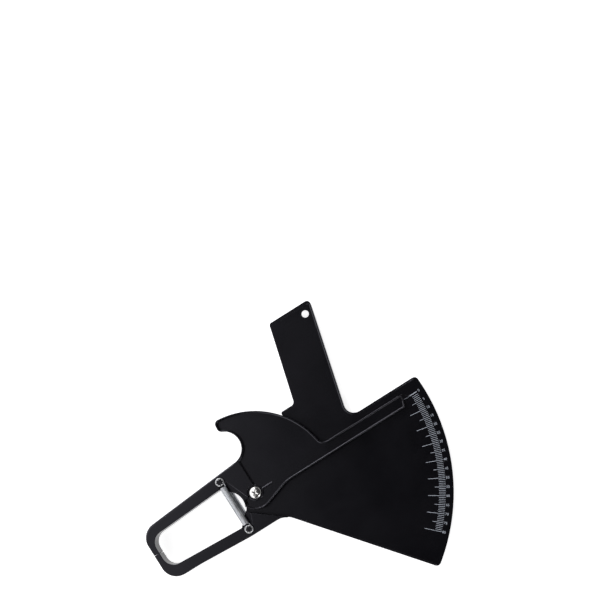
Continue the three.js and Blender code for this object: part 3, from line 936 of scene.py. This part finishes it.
@dataclass(frozen=True)
class Finishes:
    """The materials of the caliper.

    Attributes:
        plastic: flat and curved faces of the mouldings.
        edge: rounded edges of the mouldings, lighter and shinier than the faces: a painted highlight
            along the edges.
        spring: wire of the springs.
        ring: star rings.
        nickel: pivot screw and nut.
        ink: ticks and numerals of the scale.
    """

    plastic: bpy.types.Material
    edge: bpy.types.Material
    spring: bpy.types.Material
    ring: bpy.types.Material
    nickel: bpy.types.Material
    ink: bpy.types.Material

    @classmethod
    def build(cls) -> "Finishes":
        """Builds the shared groups, then each material.

        Returns:
            The materials.
        """
        effects = SharedEffects.build(EffectSizes())
        # The edges' copy of the plastic is lighter and shinier than the faces: a painted highlight along
        # the rounded edges.
        painted_highlight = PlasticFinish(
            name="burnished plastic edge",
            dark=(0.0022, 0.0022, 0.0032),
            light=(0.0044, 0.0043, 0.0058),
            smooth=0.18,
            rough=0.24,
            specular=0.95,
            relief=0.05,
        )
        spring = MetalFinish(
            name="zinc plated wire",
            bright=(0.66, 0.67, 0.70),
            dull=(0.52, 0.53, 0.56),
            smooth=0.32,
            rough=0.42,
            across=9.0,
            along=60.0,
            relief=0.05,
            edge_tint=0.35,
        )
        ring = MetalFinish(
            name="zinc plated ring",
            bright=(0.90, 0.91, 0.93),
            dull=(0.76, 0.77, 0.79),
            smooth=0.26,
            rough=0.38,
            across=40.0,
            along=4.0,
            relief=0.10,
            edge_tint=0.8,
        )
        nickel = MetalFinish(
            name="bright nickel",
            bright=(0.88, 0.87, 0.86),
            dull=(0.74, 0.73, 0.72),
            smooth=0.16,
            rough=0.28,
            across=2.0,
            along=30.0,
            relief=0.10,
            edge_tint=0.8,
        )
        return cls(
            plastic=PlasticFinish().build(effects),
            edge=painted_highlight.build(effects),
            spring=spring.build(effects),
            ring=ring.build(effects),
            nickel=nickel.build(effects),
            ink=InkFinish().build(effects),
        )


# Mouldings


@dataclass
class Moulding:
    """A black moulding: the form of its CAD solid with every sharp edge rounded.

    Attributes:
        node: the CAD node that it replaces.
        body: the CAD body that it rides on.
        edge_radius: radius of the rounded edges, in millimetres.
        wide_radius: radius along the upper arm's front outline, in millimetres.
        wide_to: how far along X that outline goes, in millimetres from the pivot.
        tip_clear: how far it stays above the line where the jaws close, in millimetres.
        arm_level: front of the arms above the middle plane, in millimetres.
        edge_angle: edges that turn by more than this many degrees are rounded.
        segments: strips across a rounded edge.
        flat_weight: how far the large faces settle the shading, out of 100.
        flat_angle: faces that meet at less than this many degrees are joined.
    """

    node: str
    body: str
    edge_radius: float = 0.38
    wide_radius: float = 1.3
    wide_to: float = -27.0
    tip_clear: float = 3.0
    arm_level: float = 7.5
    edge_angle: float = 32.0
    segments: int = 4
    flat_weight: int = 100
    flat_angle: float = 0.6

    def _edge_shares(self, work: bmesh.types.BMesh, layout: Layout) -> np.ndarray:
        """Share of the wide radius that each edge gets.

        A sharp edge gets the plain radius. Along the upper arm's front outline the share grows with
        the Y part of the side wall's direction, as a smooth step between two of its values.

        Args:
            work: the merged mesh of the moulding.
            layout: places of the caliper.

        Returns:
            One share an edge, 0 where the edge stays as it is.
        """
        plain = self.edge_radius / self.wide_radius
        shares = np.zeros(len(work.edges))
        for number, edge in enumerate(work.edges):
            if len(edge.link_faces) != 2 or edge.calc_face_angle() < math.radians(self.edge_angle):
                continue
            shares[number] = plain
            ends = (np.array([vertex.co for vertex in edge.verts]) - layout.pivot) / MM
            level = np.abs(ends[:, 2] - self.arm_level).max() < LEVEL_MATCH
            outline = ends[:, 0].min() < self.wide_to and ends[:, 1].min() > self.tip_clear
            if level and edge.is_convex and outline:
                facing = max(face.normal.y for face in edge.link_faces)
                step = np.clip((facing - WIDE_FACING[0]) / (WIDE_FACING[1] - WIDE_FACING[0]), 0, 1)
                shares[number] += (1 - plain) * smooth_step(step)
        return shares

    def build(self, finishes: Finishes, layout: Layout, nodes: dict) -> list[bpy.types.Object]:
        """Makes and dresses the moulding.

        Args:
            finishes: the materials.
            layout: places of the caliper.
            nodes: the CAD nodes of the frame by name.

        Returns:
            The one piece.
        """
        mesh = nodes[self.node].data.copy()
        mesh.name = f"{self.node}_moulding"
        work = bmesh.new()
        work.from_mesh(mesh)
        bmesh.ops.remove_doubles(work, verts=work.verts, dist=MERGE_CAD)
        bmesh.ops.dissolve_limit(
            work,
            angle_limit=math.radians(self.flat_angle),
            verts=work.verts,
            edges=work.edges,
            delimit=set(),
        )
        shares = self._edge_shares(work, layout)
        work.to_mesh(mesh)
        work.free()
        weights = mesh.attributes.new("bevel_weight_edge", "FLOAT", "EDGE")
        weights.data.foreach_set("value", shares.astype(np.float32))
        mesh.materials.clear()
        mesh.materials.append(finishes.plastic)
        mesh.materials.append(finishes.edge)
        mesh.polygons.foreach_set("material_index", np.zeros(len(mesh.polygons), np.int32))
        mesh.shade_smooth()
        mesh.set_sharp_from_angle(angle=math.radians(self.edge_angle))
        piece = bpy.data.objects.new(mesh.name, mesh)
        bpy.context.scene.collection.objects.link(piece)
        bevel = piece.modifiers.new("rounded edges", "BEVEL")
        bevel.width = self.wide_radius * MM
        bevel.segments = self.segments
        bevel.limit_method = "WEIGHT"
        bevel.use_clamp_overlap = False
        # The rounded edges take the lighter edge material, a painted highlight.
        bevel.material = EDGE_SLOT
        flat = piece.modifiers.new("flat faces", "WEIGHTED_NORMAL")
        flat.mode = "FACE_AREA"
        flat.weight = self.flat_weight
        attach(piece, self.body)
        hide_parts(self.node)
        return [piece]


# Springs and rings


@dataclass
class ExtensionSpring:
    """A close-wound extension spring with a round hook at each end.

    Attributes:
        side: the face that it lies on.
        wire: diameter of the wire.
        coil_radius: axis to the middle of the wire.
        coil_length: length of the coil between the middles of its end turns.
        hook_radius: middle of the post to the middle of the wire of the hook.
        turns: number of turns.
        per_turn: path points in a turn.
        sides: points round the wire.
        hook_from: direction from the post in which the wire of the lower hook ends, in degrees.
        hook_to: direction in which that hook leaves its arc for the coil, in degrees.
        hook_steps: path points on the arc of a hook.
        bend_steps: path points between a hook and the coil.
        bend_pull: strength of the bend's end directions.
    """

    side: Side
    wire: float = 0.9
    coil_radius: float = 2.7
    coil_length: float = 39.825
    hook_radius: float = 3.45
    turns: int = 43
    per_turn: int = 26
    sides: int = 10
    hook_from: float = 118.0
    hook_to: float = 388.0
    hook_steps: int = 48
    bend_steps: int = 12
    bend_pull: float = 3.2

    def _path(self, post_y: float) -> tuple[np.ndarray, np.ndarray]:
        """Middle line of the wire, with the guide directions of its rings.

        The coil is x = R cos a, z = R sin a, with y in proportion to a. The lower hook is an arc
        about the post in the plane z = 0. A cubic curve joins the two with their own directions at
        its ends. The upper hook is the lower one turned end for end.

        Args:
            post_y: the posts along Y from the middle of the spring.

        Returns:
            The points of the path and their guide directions.
        """
        angle = np.linspace(0, 2 * math.pi * self.turns, self.turns * self.per_turn + 1)
        radial = np.stack([np.cos(angle), np.zeros_like(angle), np.sin(angle)], axis=1)
        coil = radial * self.coil_radius
        coil[:, 1] = np.linspace(-self.coil_length / 2, self.coil_length / 2, len(angle))
        arc = np.radians(np.linspace(self.hook_from, self.hook_to, self.hook_steps))
        hook = np.stack([np.cos(arc), np.sin(arc), np.zeros_like(arc)], axis=1) * self.hook_radius
        hook[:, 1] -= post_y
        leave = np.array([-np.sin(arc[-1]), np.cos(arc[-1]), 0.0])
        share = np.linspace(0, 1, self.bend_steps + 2)[1:-1, None]
        bend = (
            (2 * share**3 - 3 * share**2 + 1) * hook[-1]
            + (share**3 - 2 * share**2 + share) * leave * self.bend_pull
            + (3 * share**2 - 2 * share**3) * coil[0]
            + (share**3 - share**2) * UP * self.bend_pull
        )
        lower = np.concatenate([hook, bend])
        hook_guide = np.repeat(UP[None], len(hook), axis=0)
        lower_guide = np.concatenate([hook_guide, UP * (1 - share) + ASIDE * share])
        path = np.concatenate([lower, coil, (lower * HALF_TURN)[::-1]])
        guide = np.concatenate([lower_guide, radial, (lower_guide * HALF_TURN)[::-1]])
        return path, guide

    def build(self, finishes: Finishes, layout: Layout) -> list[bpy.types.Object]:
        """Makes and dresses the spring.

        Args:
            finishes: the materials.
            layout: places of the caliper.

        Returns:
            The one piece, which is not attached to a body.
        """
        path, guide = self._path(layout.post_y)
        level = layout.spring_level * self.side.sign
        surface = tube_surface(path, guide, self.wire / 2, self.sides).moved((layout.post_x, 0.0, level))
        prefix = self.side.value
        piece = mesh_piece(f"{prefix}_extension_spring", surface, layout)
        piece.data.materials.append(finishes.spring)
        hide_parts(f"{prefix}_spring", f"{prefix}_spring_hook")
        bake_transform(piece)
        return [piece]


@dataclass
class StarRing:
    """A push-on ring whose bent teeth grip the end of a post.

    Attributes:
        side: the face that it lies on.
        place: the post that it sits on.
        teeth: number of teeth.
        rim: outside of the ring, which the CAD ring reaches past a little.
        tooth_tip: middle to the tips of the teeth.
        band: width of the plain band.
        lift: how far the teeth are bent outwards.
        crown: how far the band is crowned.
        steepness: how steep the sides of the teeth are.
        steps: points round the ring.
        section: points of the closed section, as shares of its width and of its height.
    """

    side: Side
    place: Post
    teeth: int = 8
    rim: float = 3.85
    tooth_tip: float = 2.62
    band: float = 0.75
    lift: float = 0.55
    crown: float = 0.12
    steepness: float = 2.6
    steps: int = 192
    section: tuple[tuple[float, float], ...] = (
        (0.0, 0.35),
        (0.12, 0.0),
        (0.35, 0.0),
        (0.6, 0.0),
        (0.82, 0.0),
        (0.95, 0.12),
        (1.0, 0.5),
        (0.95, 0.88),
        (0.82, 1.0),
        (0.6, 1.0),
        (0.35, 1.0),
        (0.12, 0.95),
    )

    def _surface(self, layout: Layout) -> Surface:
        """Surface of the ring.

        Round the ring the inner radius swings between the tooth tips and the band with a steep,
        smooth wave. At each angle a closed section runs from the inner edge along the underside to
        the rim and back over the top. The section rises towards the tips as the square of the
        distance inside the band, and its band is slightly crowned.

        Args:
            layout: places of the caliper.

        Returns:
            The surface about the middle of the post's end, lying at height 0 and up.
        """
        angle = np.linspace(0, 2 * math.pi, self.steps, endpoint=False)
        wave = 0.5 + 0.5 * np.tanh(self.steepness * np.sin(self.teeth * angle))
        root = self.rim - self.band
        inner = root + (self.tooth_tip - root) * wave
        share, level = np.array(self.section).T
        radius = inner[:, None] + share * (self.rim - inner[:, None])
        inside = np.clip((root - radius) / (root - self.tooth_tip), 0, 1)
        crown = self.crown * np.sin(np.clip((radius - root) / self.band, 0, 1) * math.pi)
        z = level * layout.ring_height + self.lift * inside**2 + crown
        points = np.stack(
            [radius * np.cos(angle)[:, None], radius * np.sin(angle)[:, None], z], axis=-1
        )
        return grid_surface(np.concatenate([points, points[:1]]))

    def build(self, finishes: Finishes, layout: Layout) -> list[bpy.types.Object]:
        """Makes and dresses the ring.

        Args:
            finishes: the materials.
            layout: places of the caliper.

        Returns:
            The one piece.
        """
        surface = self._surface(layout).moved((0.0, 0.0, layout.ring_level))
        if self.side is Side.BACK:
            surface = surface.turned_over()
        surface = surface.moved(layout.post(self.place))
        node = f"{self.side.value}_{self.place.value}_ring"
        piece = mesh_piece(f"{node}_pressed", surface, layout)
        piece.data.materials.append(finishes.ring)
        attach(piece, self.place.body)
        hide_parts(node)
        return [piece]


# Pivot


@dataclass
class PivotScrew:
    """Pan-head machine screw with a cross recess.

    Attributes:
        head_radius: radius of the head.
        seat: underside of the head above the middle plane.
        head_height: height of the head.
        shoulder: height of the straight side of the head.
        recess_reach: middle to the end of an arm of the cross.
        recess_width: width of an arm near the middle.
        recess_depth: depth of the cross in its middle.
        recess_turn: turn of the cross about the axis, in degrees.
        recess_taper: share of an arm's width that is lost by its end.
        recess_rise: share of the depth that is lost by the end of an arm.
        wall_edge: how far inside the line of an arm's side its slope starts.
        wall_slope: width of that slope.
        end_edge: how far before the end of an arm its slope starts.
        end_slope: width of that slope.
        dome_powers: powers of the dome, over the radius and over the height.
        head_edge: bevel where the side of the head meets its underside.
        shank_radius: radius of the shank.
        shank_end: end of the shank below the middle plane.
        shank_edge: bevel at the end of the shank.
        pole_radius: radius at which the end of the shank closes.
        cells: grid cells across the head.
        smooth_below: edges that turn by less than this many degrees are shaded smooth.
    """

    head_radius: float = 5.65
    seat: float = 5.3
    head_height: float = 3.0
    shoulder: float = 0.9
    recess_reach: float = 3.0
    recess_width: float = 1.25
    recess_depth: float = 1.9
    recess_turn: float = 40.0
    recess_taper: float = 0.22
    recess_rise: float = 0.45
    wall_edge: float = 0.14
    wall_slope: float = 0.22
    end_edge: float = 0.3
    end_slope: float = 0.4
    dome_powers: tuple[float, float] = (2.5, 0.62)
    head_edge: float = 0.2
    shank_radius: float = 2.2
    shank_end: float = -8.2
    shank_edge: float = 0.4
    pole_radius: float = 0.001
    cells: int = 128
    smooth_below: float = 50.0

    def _slot_depth(self, along: np.ndarray, across: np.ndarray) -> np.ndarray:
        """Depth of one slot of the cross.

        It is the product of a smooth step in width and one in length, and its floor rises towards
        both ends of the slot.

        Args:
            along: distance from the axis along the slot.
            across: distance from the axis across the slot.

        Returns:
            The depths, from 0 to 1.
        """
        reach = np.abs(along) / self.recess_reach
        width = self.recess_width / 2 * (1 - self.recess_taper * reach)
        wall = 1 - np.clip((np.abs(across) - width + self.wall_edge) / self.wall_slope, 0, 1)
        past = np.abs(along) - self.recess_reach + self.end_edge
        end = 1 - np.clip(past / self.end_slope, 0, 1)
        floor = 1 - self.recess_rise * np.clip(reach, 0, 1)
        return smooth_step(wall) * smooth_step(end) * floor

    def _head(self) -> np.ndarray:
        """Grid of points over the top of the head.

        A square grid u, v from -1 to 1 is pressed into a disc by x = u sqrt(1 - v^2 / 2) and
        y = v sqrt(1 - u^2 / 2). The height is a flattened dome less the deeper of the two slots of
        the cross.

        Returns:
            Array of rows, columns and three coordinates.
        """
        steps = np.linspace(-1, 1, self.cells + 1)
        u, v = np.meshgrid(steps, steps)
        x = u * np.sqrt(1 - v**2 / 2) * self.head_radius
        y = v * np.sqrt(1 - u**2 / 2) * self.head_radius
        radius = np.hypot(x, y) / self.head_radius
        over_radius, over_height = self.dome_powers
        crown = self.head_height - self.shoulder
        bulge = crown * (1 - np.clip(radius, 0, 1) ** over_radius) ** over_height
        depth = np.maximum(self._slot_depth(x, y), self._slot_depth(y, x)) * self.recess_depth
        return np.stack([x, y, self.seat + self.shoulder + bulge - depth], axis=-1)

    def _surface(self) -> Surface:
        """Head, side, underside and shank as one closed surface.

        The outline of the head's grid is carried down the side, in under the head and down the
        shank by rows that keep its points' directions.

        Returns:
            The surface.
        """
        head = self._head()
        last = self.cells
        rim = np.concatenate([head[0, :last], head[:last, last], head[last, :0:-1], head[:0:-1, 0]])
        unit = rim / np.hypot(rim[:, :1], rim[:, 1:2])
        unit[:, 2] = 0.0
        profile = [
            (self.head_radius, rim[0, 2]),
            (self.head_radius, self.seat + self.head_edge),
            (self.head_radius - self.head_edge, self.seat),
            (self.shank_radius, self.seat),
            (self.shank_radius, self.shank_end + self.shank_edge),
            (self.shank_radius - self.shank_edge, self.shank_end),
            (self.pole_radius, self.shank_end),
        ]
        rows = np.stack([unit * radius + UP * level for radius, level in profile])
        return joined([grid_surface(head, ring=False), grid_surface(rows)])

    def build(self, finishes: Finishes, layout: Layout) -> list[bpy.types.Object]:
        """Makes and dresses the screw.

        Args:
            finishes: the materials.
            layout: places of the caliper.

        Returns:
            The one piece.
        """
        surface = self._surface().turned(math.radians(self.recess_turn))
        piece = mesh_piece("cross_head_screw", surface, layout, self.smooth_below)
        piece.data.materials.append(finishes.nickel)
        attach(piece, "scale")
        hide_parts("pivot_screw")
        return [piece]


@dataclass
class PivotNut:
    """Round barrel nut: a tube with a flange on the back.

    Attributes:
        bore: radius of the hole.
        barrel: radius of the tube.
        flange: radius of the flange.
        top: end of the tube above the middle plane.
        seat: front of the flange below the middle plane.
        thickness: thickness of the flange.
        rounding: radius of the flange's outer edge.
        rounding_steps: points on that rounding.
        lead: size of the bevel where the hole opens.
        tube_edge: size of the bevel at the end of the tube.
        steps: points round the nut.
    """

    bore: float = 2.5
    barrel: float = 3.2
    flange: float = 4.4
    top: float = 4.7
    seat: float = -6.8
    thickness: float = 1.7
    rounding: float = 0.55
    rounding_steps: int = 7
    lead: float = 0.35
    tube_edge: float = 0.2
    steps: int = 96

    def build(self, finishes: Finishes, layout: Layout) -> list[bpy.types.Object]:
        """Makes and dresses the nut, a turned profile with rounded edges.

        Args:
            finishes: the materials.
            layout: places of the caliper.

        Returns:
            The one piece.
        """
        back = self.seat - self.thickness
        middle = np.array([self.flange - self.rounding, back + self.rounding])
        quarter = np.linspace(0, math.pi / 2, self.rounding_steps)
        outer = middle + self.rounding * np.stack([np.sin(quarter), -np.cos(quarter)], axis=1)
        profile = [
            (self.bore, self.top),
            (self.bore, back + self.lead),
            (self.bore + self.lead, back),
            *outer,
            (self.flange, self.seat),
            (self.barrel, self.seat),
            (self.barrel, self.top - self.tube_edge),
            (self.barrel - self.tube_edge, self.top),
            (self.bore, self.top),
        ]
        piece = mesh_piece("barrel_nut", turned_surface(profile, self.steps), layout)
        piece.data.materials.append(finishes.nickel)
        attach(piece, "scale")
        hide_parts("pivot_nut")
        return [piece]


# Print


@dataclass
class PrintedScale:
    """White ticks and numerals of the 0 to 80 mm scale.

    Attributes:
        top: highest reading, in millimetres of jaw opening.
        first: direction that the even division starts from, in degrees below the zero line.
        last: direction of the highest reading, in degrees below the zero line.
        band_inner: inner end of the one-millimetre ticks, from the pivot.
        band_outer: outer end of all ticks.
        five_inner: inner end of the five-millimetre ticks.
        ten_inner: inner end of the ten-millimetre ticks.
        zero_inner: inner end of the zero tick, which lies on the zero line.
        thin: width of the one-millimetre ticks.
        thick: width of the five- and ten-millimetre ticks.
        zero_width: width of the zero tick.
        ink: thickness of the ink.
        tick_sunk: share of the ticks' thickness that lies under the face.
        numeral_lift: middle of the numerals above the face, as a share of the ink.
        numeral_radius: pivot to the middle of the numerals.
        numeral_size: height of the type.
        numeral_steps: points on each curve of a numeral.
        five: readings from a numeral to the next.
        ten: readings from a long tick to the next.
        smooth_below: edges that turn by less than this many degrees are shaded smooth.
    """

    top: int = 80
    first: float = 0.24
    last: float = 44.19
    band_inner: float = 168.2
    band_outer: float = 174.3
    five_inner: float = 164.4
    ten_inner: float = 158.3
    zero_inner: float = 160.7
    thin: float = 0.36
    thick: float = 0.42
    zero_width: float = 0.75
    ink: float = 0.05
    tick_sunk: float = 0.4
    numeral_lift: float = 0.1
    numeral_radius: float = 176.55
    numeral_size: float = 3.3
    numeral_steps: int = 4
    five: int = 5
    ten: int = 10
    smooth_below: float = 30.0

    def _angle(self, reading: np.ndarray) -> np.ndarray:
        """Direction of a reading: even steps from the first to the last, with zero on the zero line.

        Args:
            reading: readings in millimetres.

        Returns:
            The directions in radians from +X.
        """
        degrees = self.first + (self.last - self.first) * reading / self.top
        return -np.radians(np.where(reading == 0, 0.0, degrees))

    def _ticks(self, layout: Layout) -> Surface:
        """All ticks: one thin block a reading, between two radii and across its direction.

        The eight corners of a block are numbered round its underside, then round its top.

        Args:
            layout: places of the caliper.

        Returns:
            The blocks as one surface.
        """
        reading = np.arange(self.top + 1)
        angle = self._angle(reading)
        ten, five = reading % self.ten == 0, reading % self.five == 0
        inner = np.where(ten, self.ten_inner, np.where(five, self.five_inner, self.band_inner))
        half = np.where(five, self.thick, self.thin) / 2
        inner[0], half[0] = self.zero_inner, self.zero_width / 2
        out = np.stack([np.cos(angle), np.sin(angle)], axis=1)
        aside = np.stack([-np.sin(angle), np.cos(angle)], axis=1)
        along = np.array([0, 1, 1, 0, 0, 1, 1, 0], float)
        sign = np.array([-1, -1, 1, 1, -1, -1, 1, 1], float)
        high = np.array([0, 0, 0, 0, 1, 1, 1, 1], float)
        radius = inner[:, None] + along * (self.band_outer - inner)[:, None]
        flat = radius[..., None] * out[:, None] + (sign * half[:, None])[..., None] * aside[:, None]
        level = layout.face_level + self.ink * (high - self.tick_sunk)
        height = np.broadcast_to(level[None, :, None], (*radius.shape, 1))
        points = np.concatenate([flat, height], axis=-1).reshape(-1, 3)
        starts = len(along) * np.arange(len(reading))
        faces = (np.array(BLOCK_FACES)[None] + starts[:, None, None]).reshape(-1, 4)
        return Surface(points, faces)

    def _numeral_mesh(self, reading: int) -> bpy.types.Mesh:
        """Sets one numeral as text and turns it into a mesh.

        Args:
            reading: the number.

        Returns:
            The mesh about the middle of the numeral, in millimetres.
        """
        curve = bpy.data.curves.new(f"numeral_{reading}", "FONT")
        curve.body = str(reading)
        curve.size = self.numeral_size
        curve.align_x = "CENTER"
        curve.align_y = "CENTER"
        curve.extrude = self.ink / 2
        curve.resolution_u = self.numeral_steps
        text = bpy.data.objects.new(curve.name, curve)
        bpy.context.scene.collection.objects.link(text)
        bpy.context.view_layer.update()
        depsgraph = bpy.context.evaluated_depsgraph_get()
        shape = bpy.data.meshes.new_from_object(text.evaluated_get(depsgraph))
        bpy.data.objects.remove(text)
        return shape

    def _numerals(self, layout: Layout) -> bpy.types.Object:
        """Numerals of every fifth reading, each set along its radius, as one mesh.

        Args:
            layout: places of the caliper.

        Returns:
            The object.
        """
        work = bmesh.new()
        row = Matrix.Translation(Vector(layout.pivot)) @ Matrix.Scale(MM, 4)
        level = layout.face_level + self.ink * self.numeral_lift
        for reading in range(0, self.top + 1, self.five):
            angle = float(self._angle(np.array(reading)))
            shape = self._numeral_mesh(reading)
            out = (self.numeral_radius * math.cos(angle), self.numeral_radius * math.sin(angle), level)
            shape.transform(row @ Matrix.Translation(Vector(out)) @ Matrix.Rotation(angle, 4, "Z"))
            work.from_mesh(shape)
            bpy.data.meshes.remove(shape)
        bmesh.ops.remove_doubles(work, verts=work.verts, dist=MERGE_PRINT)
        mesh = bpy.data.meshes.new("scale_numerals")
        work.to_mesh(mesh)
        work.free()
        piece = bpy.data.objects.new("scale_numerals", mesh)
        bpy.context.scene.collection.objects.link(piece)
        return piece

    def build(self, finishes: Finishes, layout: Layout) -> list[bpy.types.Object]:
        """Makes and dresses the print.

        Args:
            finishes: the materials.
            layout: places of the caliper.

        Returns:
            The ticks and the numerals.
        """
        ticks = mesh_piece("scale_ticks", self._ticks(layout), layout, self.smooth_below)
        numerals = self._numerals(layout)
        for piece in (ticks, numerals):
            piece.data.materials.append(finishes.ink)
            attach(piece, "scale")
        return [ticks, numerals]


# Studio


@dataclass(frozen=True)
class Lamp:
    """A soft square lamp that faces the caliper.

    Attributes:
        azimuth: direction that it stands in, in degrees from +X.
        elevation: its height above the floor as an angle, in degrees.
        distance: distance from the middle of the caliper, in metres.
        size: side of the lamp, in metres.
        power: watts.
    """

    azimuth: float
    elevation: float
    distance: float
    size: float
    power: float


@dataclass
class Studio:
    """Pale floor, soft light and the camera.

    Attributes:
        floor_half: half the side of the floor, in metres.
        floor_colour: diffuse colour of the floor.
        floor_glow: what the floor adds for the camera and for reflections.
        horizon: brightness of the surroundings along the horizon.
        bright_side: brightness of the surroundings on the side that they light the caliper from.
        dim_side: brightness of the rest.
        horizon_span: heights of a direction's end between which the horizon's brightness fades.
        side_span: its distances towards the bright side between which that side's brightness grows.
        bright_azimuth: direction of the bright side, in degrees from +X.
        camera_aim: point under the camera, in millimetres from the pivot.
        camera_shift: how far the picture is moved off the camera's axis, as a share of its side.
        camera_height: height of the camera above the jaw arms' front, in millimetres.
        camera_level: the arms' front above the middle plane.
        camera_roll: direction of +X in the picture, in degrees.
        view_width: what the picture's side covers at the arms' front, in millimetres.
        sensor_width: width of the camera's sensor, in millimetres.
        lamps: the lamps.
    """

    floor_half: float = 6.0
    floor_colour: Colour = (0.86, 0.86, 0.865)
    floor_glow: float = 0.85
    horizon: float = 1.0
    bright_side: float = 1.7
    dim_side: float = 0.05
    horizon_span: Span = (0.12, 0.26)
    side_span: Span = (0.16, 0.24)
    bright_azimuth: float = 148.0
    camera_aim: tuple[float, float] = (156.1, -52.1)
    camera_shift: tuple[float, float] = (-0.2167, 0.25)
    camera_height: float = 977.0
    camera_level: float = 7.5
    camera_roll: float = 32.2
    view_width: float = 547.8
    sensor_width: float = 36.0
    lamps: tuple[Lamp, ...] = (
        Lamp(azimuth=97.0, elevation=34.0, distance=1.5, size=0.6, power=5.0),
        Lamp(azimuth=285.0, elevation=32.0, distance=1.5, size=0.5, power=3.5),
    )

    def build(self, layout: Layout) -> None:
        """Sets up the floor, the surroundings, the lamps, the camera and the view settings.

        Args:
            layout: places of the caliper.
        """
        self._floor()
        self._surroundings()
        for number, lamp in enumerate(self.lamps):
            self._lamp(f"soft_lamp_{number}", lamp)
        self._camera(layout)
        bpy.context.scene.view_settings.view_transform = "Standard"

    def _floor(self) -> None:
        """A wide flat floor at height 0, diffuse, and lifted to white for the camera and reflections."""
        half = self.floor_half
        mesh = bpy.data.meshes.new("studio_floor")
        corners = [(-half, -half, 0.0), (half, -half, 0.0), (half, half, 0.0), (-half, half, 0.0)]
        mesh.from_pydata(corners, [], [(0, 1, 2, 3)])
        floor = bpy.data.objects.new("studio_floor", mesh)
        bpy.context.scene.collection.objects.link(floor)
        material, bench = new_material("pale floor")
        path = bench.add("ShaderNodeLightPath").outputs
        seen = bench.join("MAXIMUM", path["Is Camera Ray"], path["Is Glossy Ray"])
        seen = bench.join("MAXIMUM", seen, path["Is Transmission Ray"])
        glow = bench.join("MULTIPLY", seen, self.floor_glow)
        diffuse = bench.add("ShaderNodeBsdfDiffuse", {"Color": (*self.floor_colour, 1.0)})
        light = bench.add("ShaderNodeEmission", {"Strength": glow})
        both = bench.add("ShaderNodeAddShader", {0: diffuse.outputs[0], 1: light.outputs[0]})
        bench.add("ShaderNodeOutputMaterial", {"Surface": both.outputs[0]})
        mesh.materials.append(material)

    def _surroundings(self) -> None:
        """Surroundings that are pale along the horizon, bright on one side and dim elsewhere."""
        world = bpy.data.worlds.new("studio")
        world.use_nodes = True
        bench = NodeBench(world.node_tree)
        direction = bench.add("ShaderNodeTexCoord").outputs["Generated"]
        height = bench.add("ShaderNodeSeparateXYZ", {"Vector": direction}).outputs["Z"]
        band = bench.spread(height, self.horizon_span, (self.horizon, self.dim_side))
        turn = math.radians(self.bright_azimuth)
        aside = bench.add(
            "ShaderNodeVectorMath",
            {0: direction, 1: (math.cos(turn), math.sin(turn), 0.0)},
            operation="DOT_PRODUCT",
        )
        brightness = (self.dim_side, self.bright_side)
        side = bench.spread(aside.outputs["Value"], self.side_span, brightness)
        strength = bench.join("MAXIMUM", band, side)
        sky = bench.add("ShaderNodeBackground", {"Strength": strength})
        bench.add("ShaderNodeOutputWorld", {"Surface": sky.outputs[0]})
        bpy.context.scene.world = world

    def _lamp(self, name: str, lamp: Lamp) -> None:
        """Adds one lamp, turned towards the middle of the frame.

        Args:
            name: name of the lamp.
            lamp: its place, size and power.
        """
        data = bpy.data.lights.new(name, "AREA")
        data.size = lamp.size
        data.energy = lamp.power
        tilt = math.radians(lamp.elevation)
        turn = math.radians(lamp.azimuth)
        flat = math.cos(tilt)
        toward = Vector((flat * math.cos(turn), flat * math.sin(turn), math.sin(tilt)))
        place = toward * lamp.distance
        light = bpy.data.objects.new(name, data)
        light.location = place
        light.rotation_euler = (-place).to_track_quat("-Z", "Y").to_euler()
        bpy.context.scene.collection.objects.link(light)

    def _camera(self, layout: Layout) -> None:
        """Puts the camera level over its aim, rolled so that +X points at camera_roll in the picture.

        Args:
            layout: places of the caliper.
        """
        data = bpy.data.cameras.new("camera")
        data.sensor_width = self.sensor_width
        data.lens = data.sensor_width * self.camera_height / self.view_width
        data.shift_x, data.shift_y = self.camera_shift
        camera = bpy.data.objects.new("camera", data)
        place = np.array([*self.camera_aim, self.camera_level + self.camera_height])
        camera.location = layout.in_row(place)
        camera.rotation_euler = (0.0, 0.0, -math.radians(self.camera_roll))
        bpy.context.scene.collection.objects.link(camera)
        bpy.context.scene.camera = camera


def main() -> None:
    """Builds every sub-assembly in order and reports its pieces."""
    logging.basicConfig(level=logging.INFO, format="%(name)s: %(message)s")
    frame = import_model()
    layout = Layout.from_frame(frame["record"])
    finishes = Finishes.build()
    pieces: list[bpy.types.Object] = []
    for moulding in (Moulding("scale_body", "scale"), Moulding("trigger_lever", "lever")):
        pieces += moulding.build(finishes, layout, frame["nodes"])
    for side in Side:
        pieces += ExtensionSpring(side).build(finishes, layout)
        for place in Post:
            pieces += StarRing(side, place).build(finishes, layout)
    pieces += PivotScrew().build(finishes, layout)
    pieces += PivotNut().build(finishes, layout)
    pieces += PrintedScale().build(finishes, layout)
    for piece in pieces:
        LOG.info("%s: %d faces", piece.name, len(piece.data.polygons))
    Studio().build(layout)


if __name__ == "__main__":
    main()
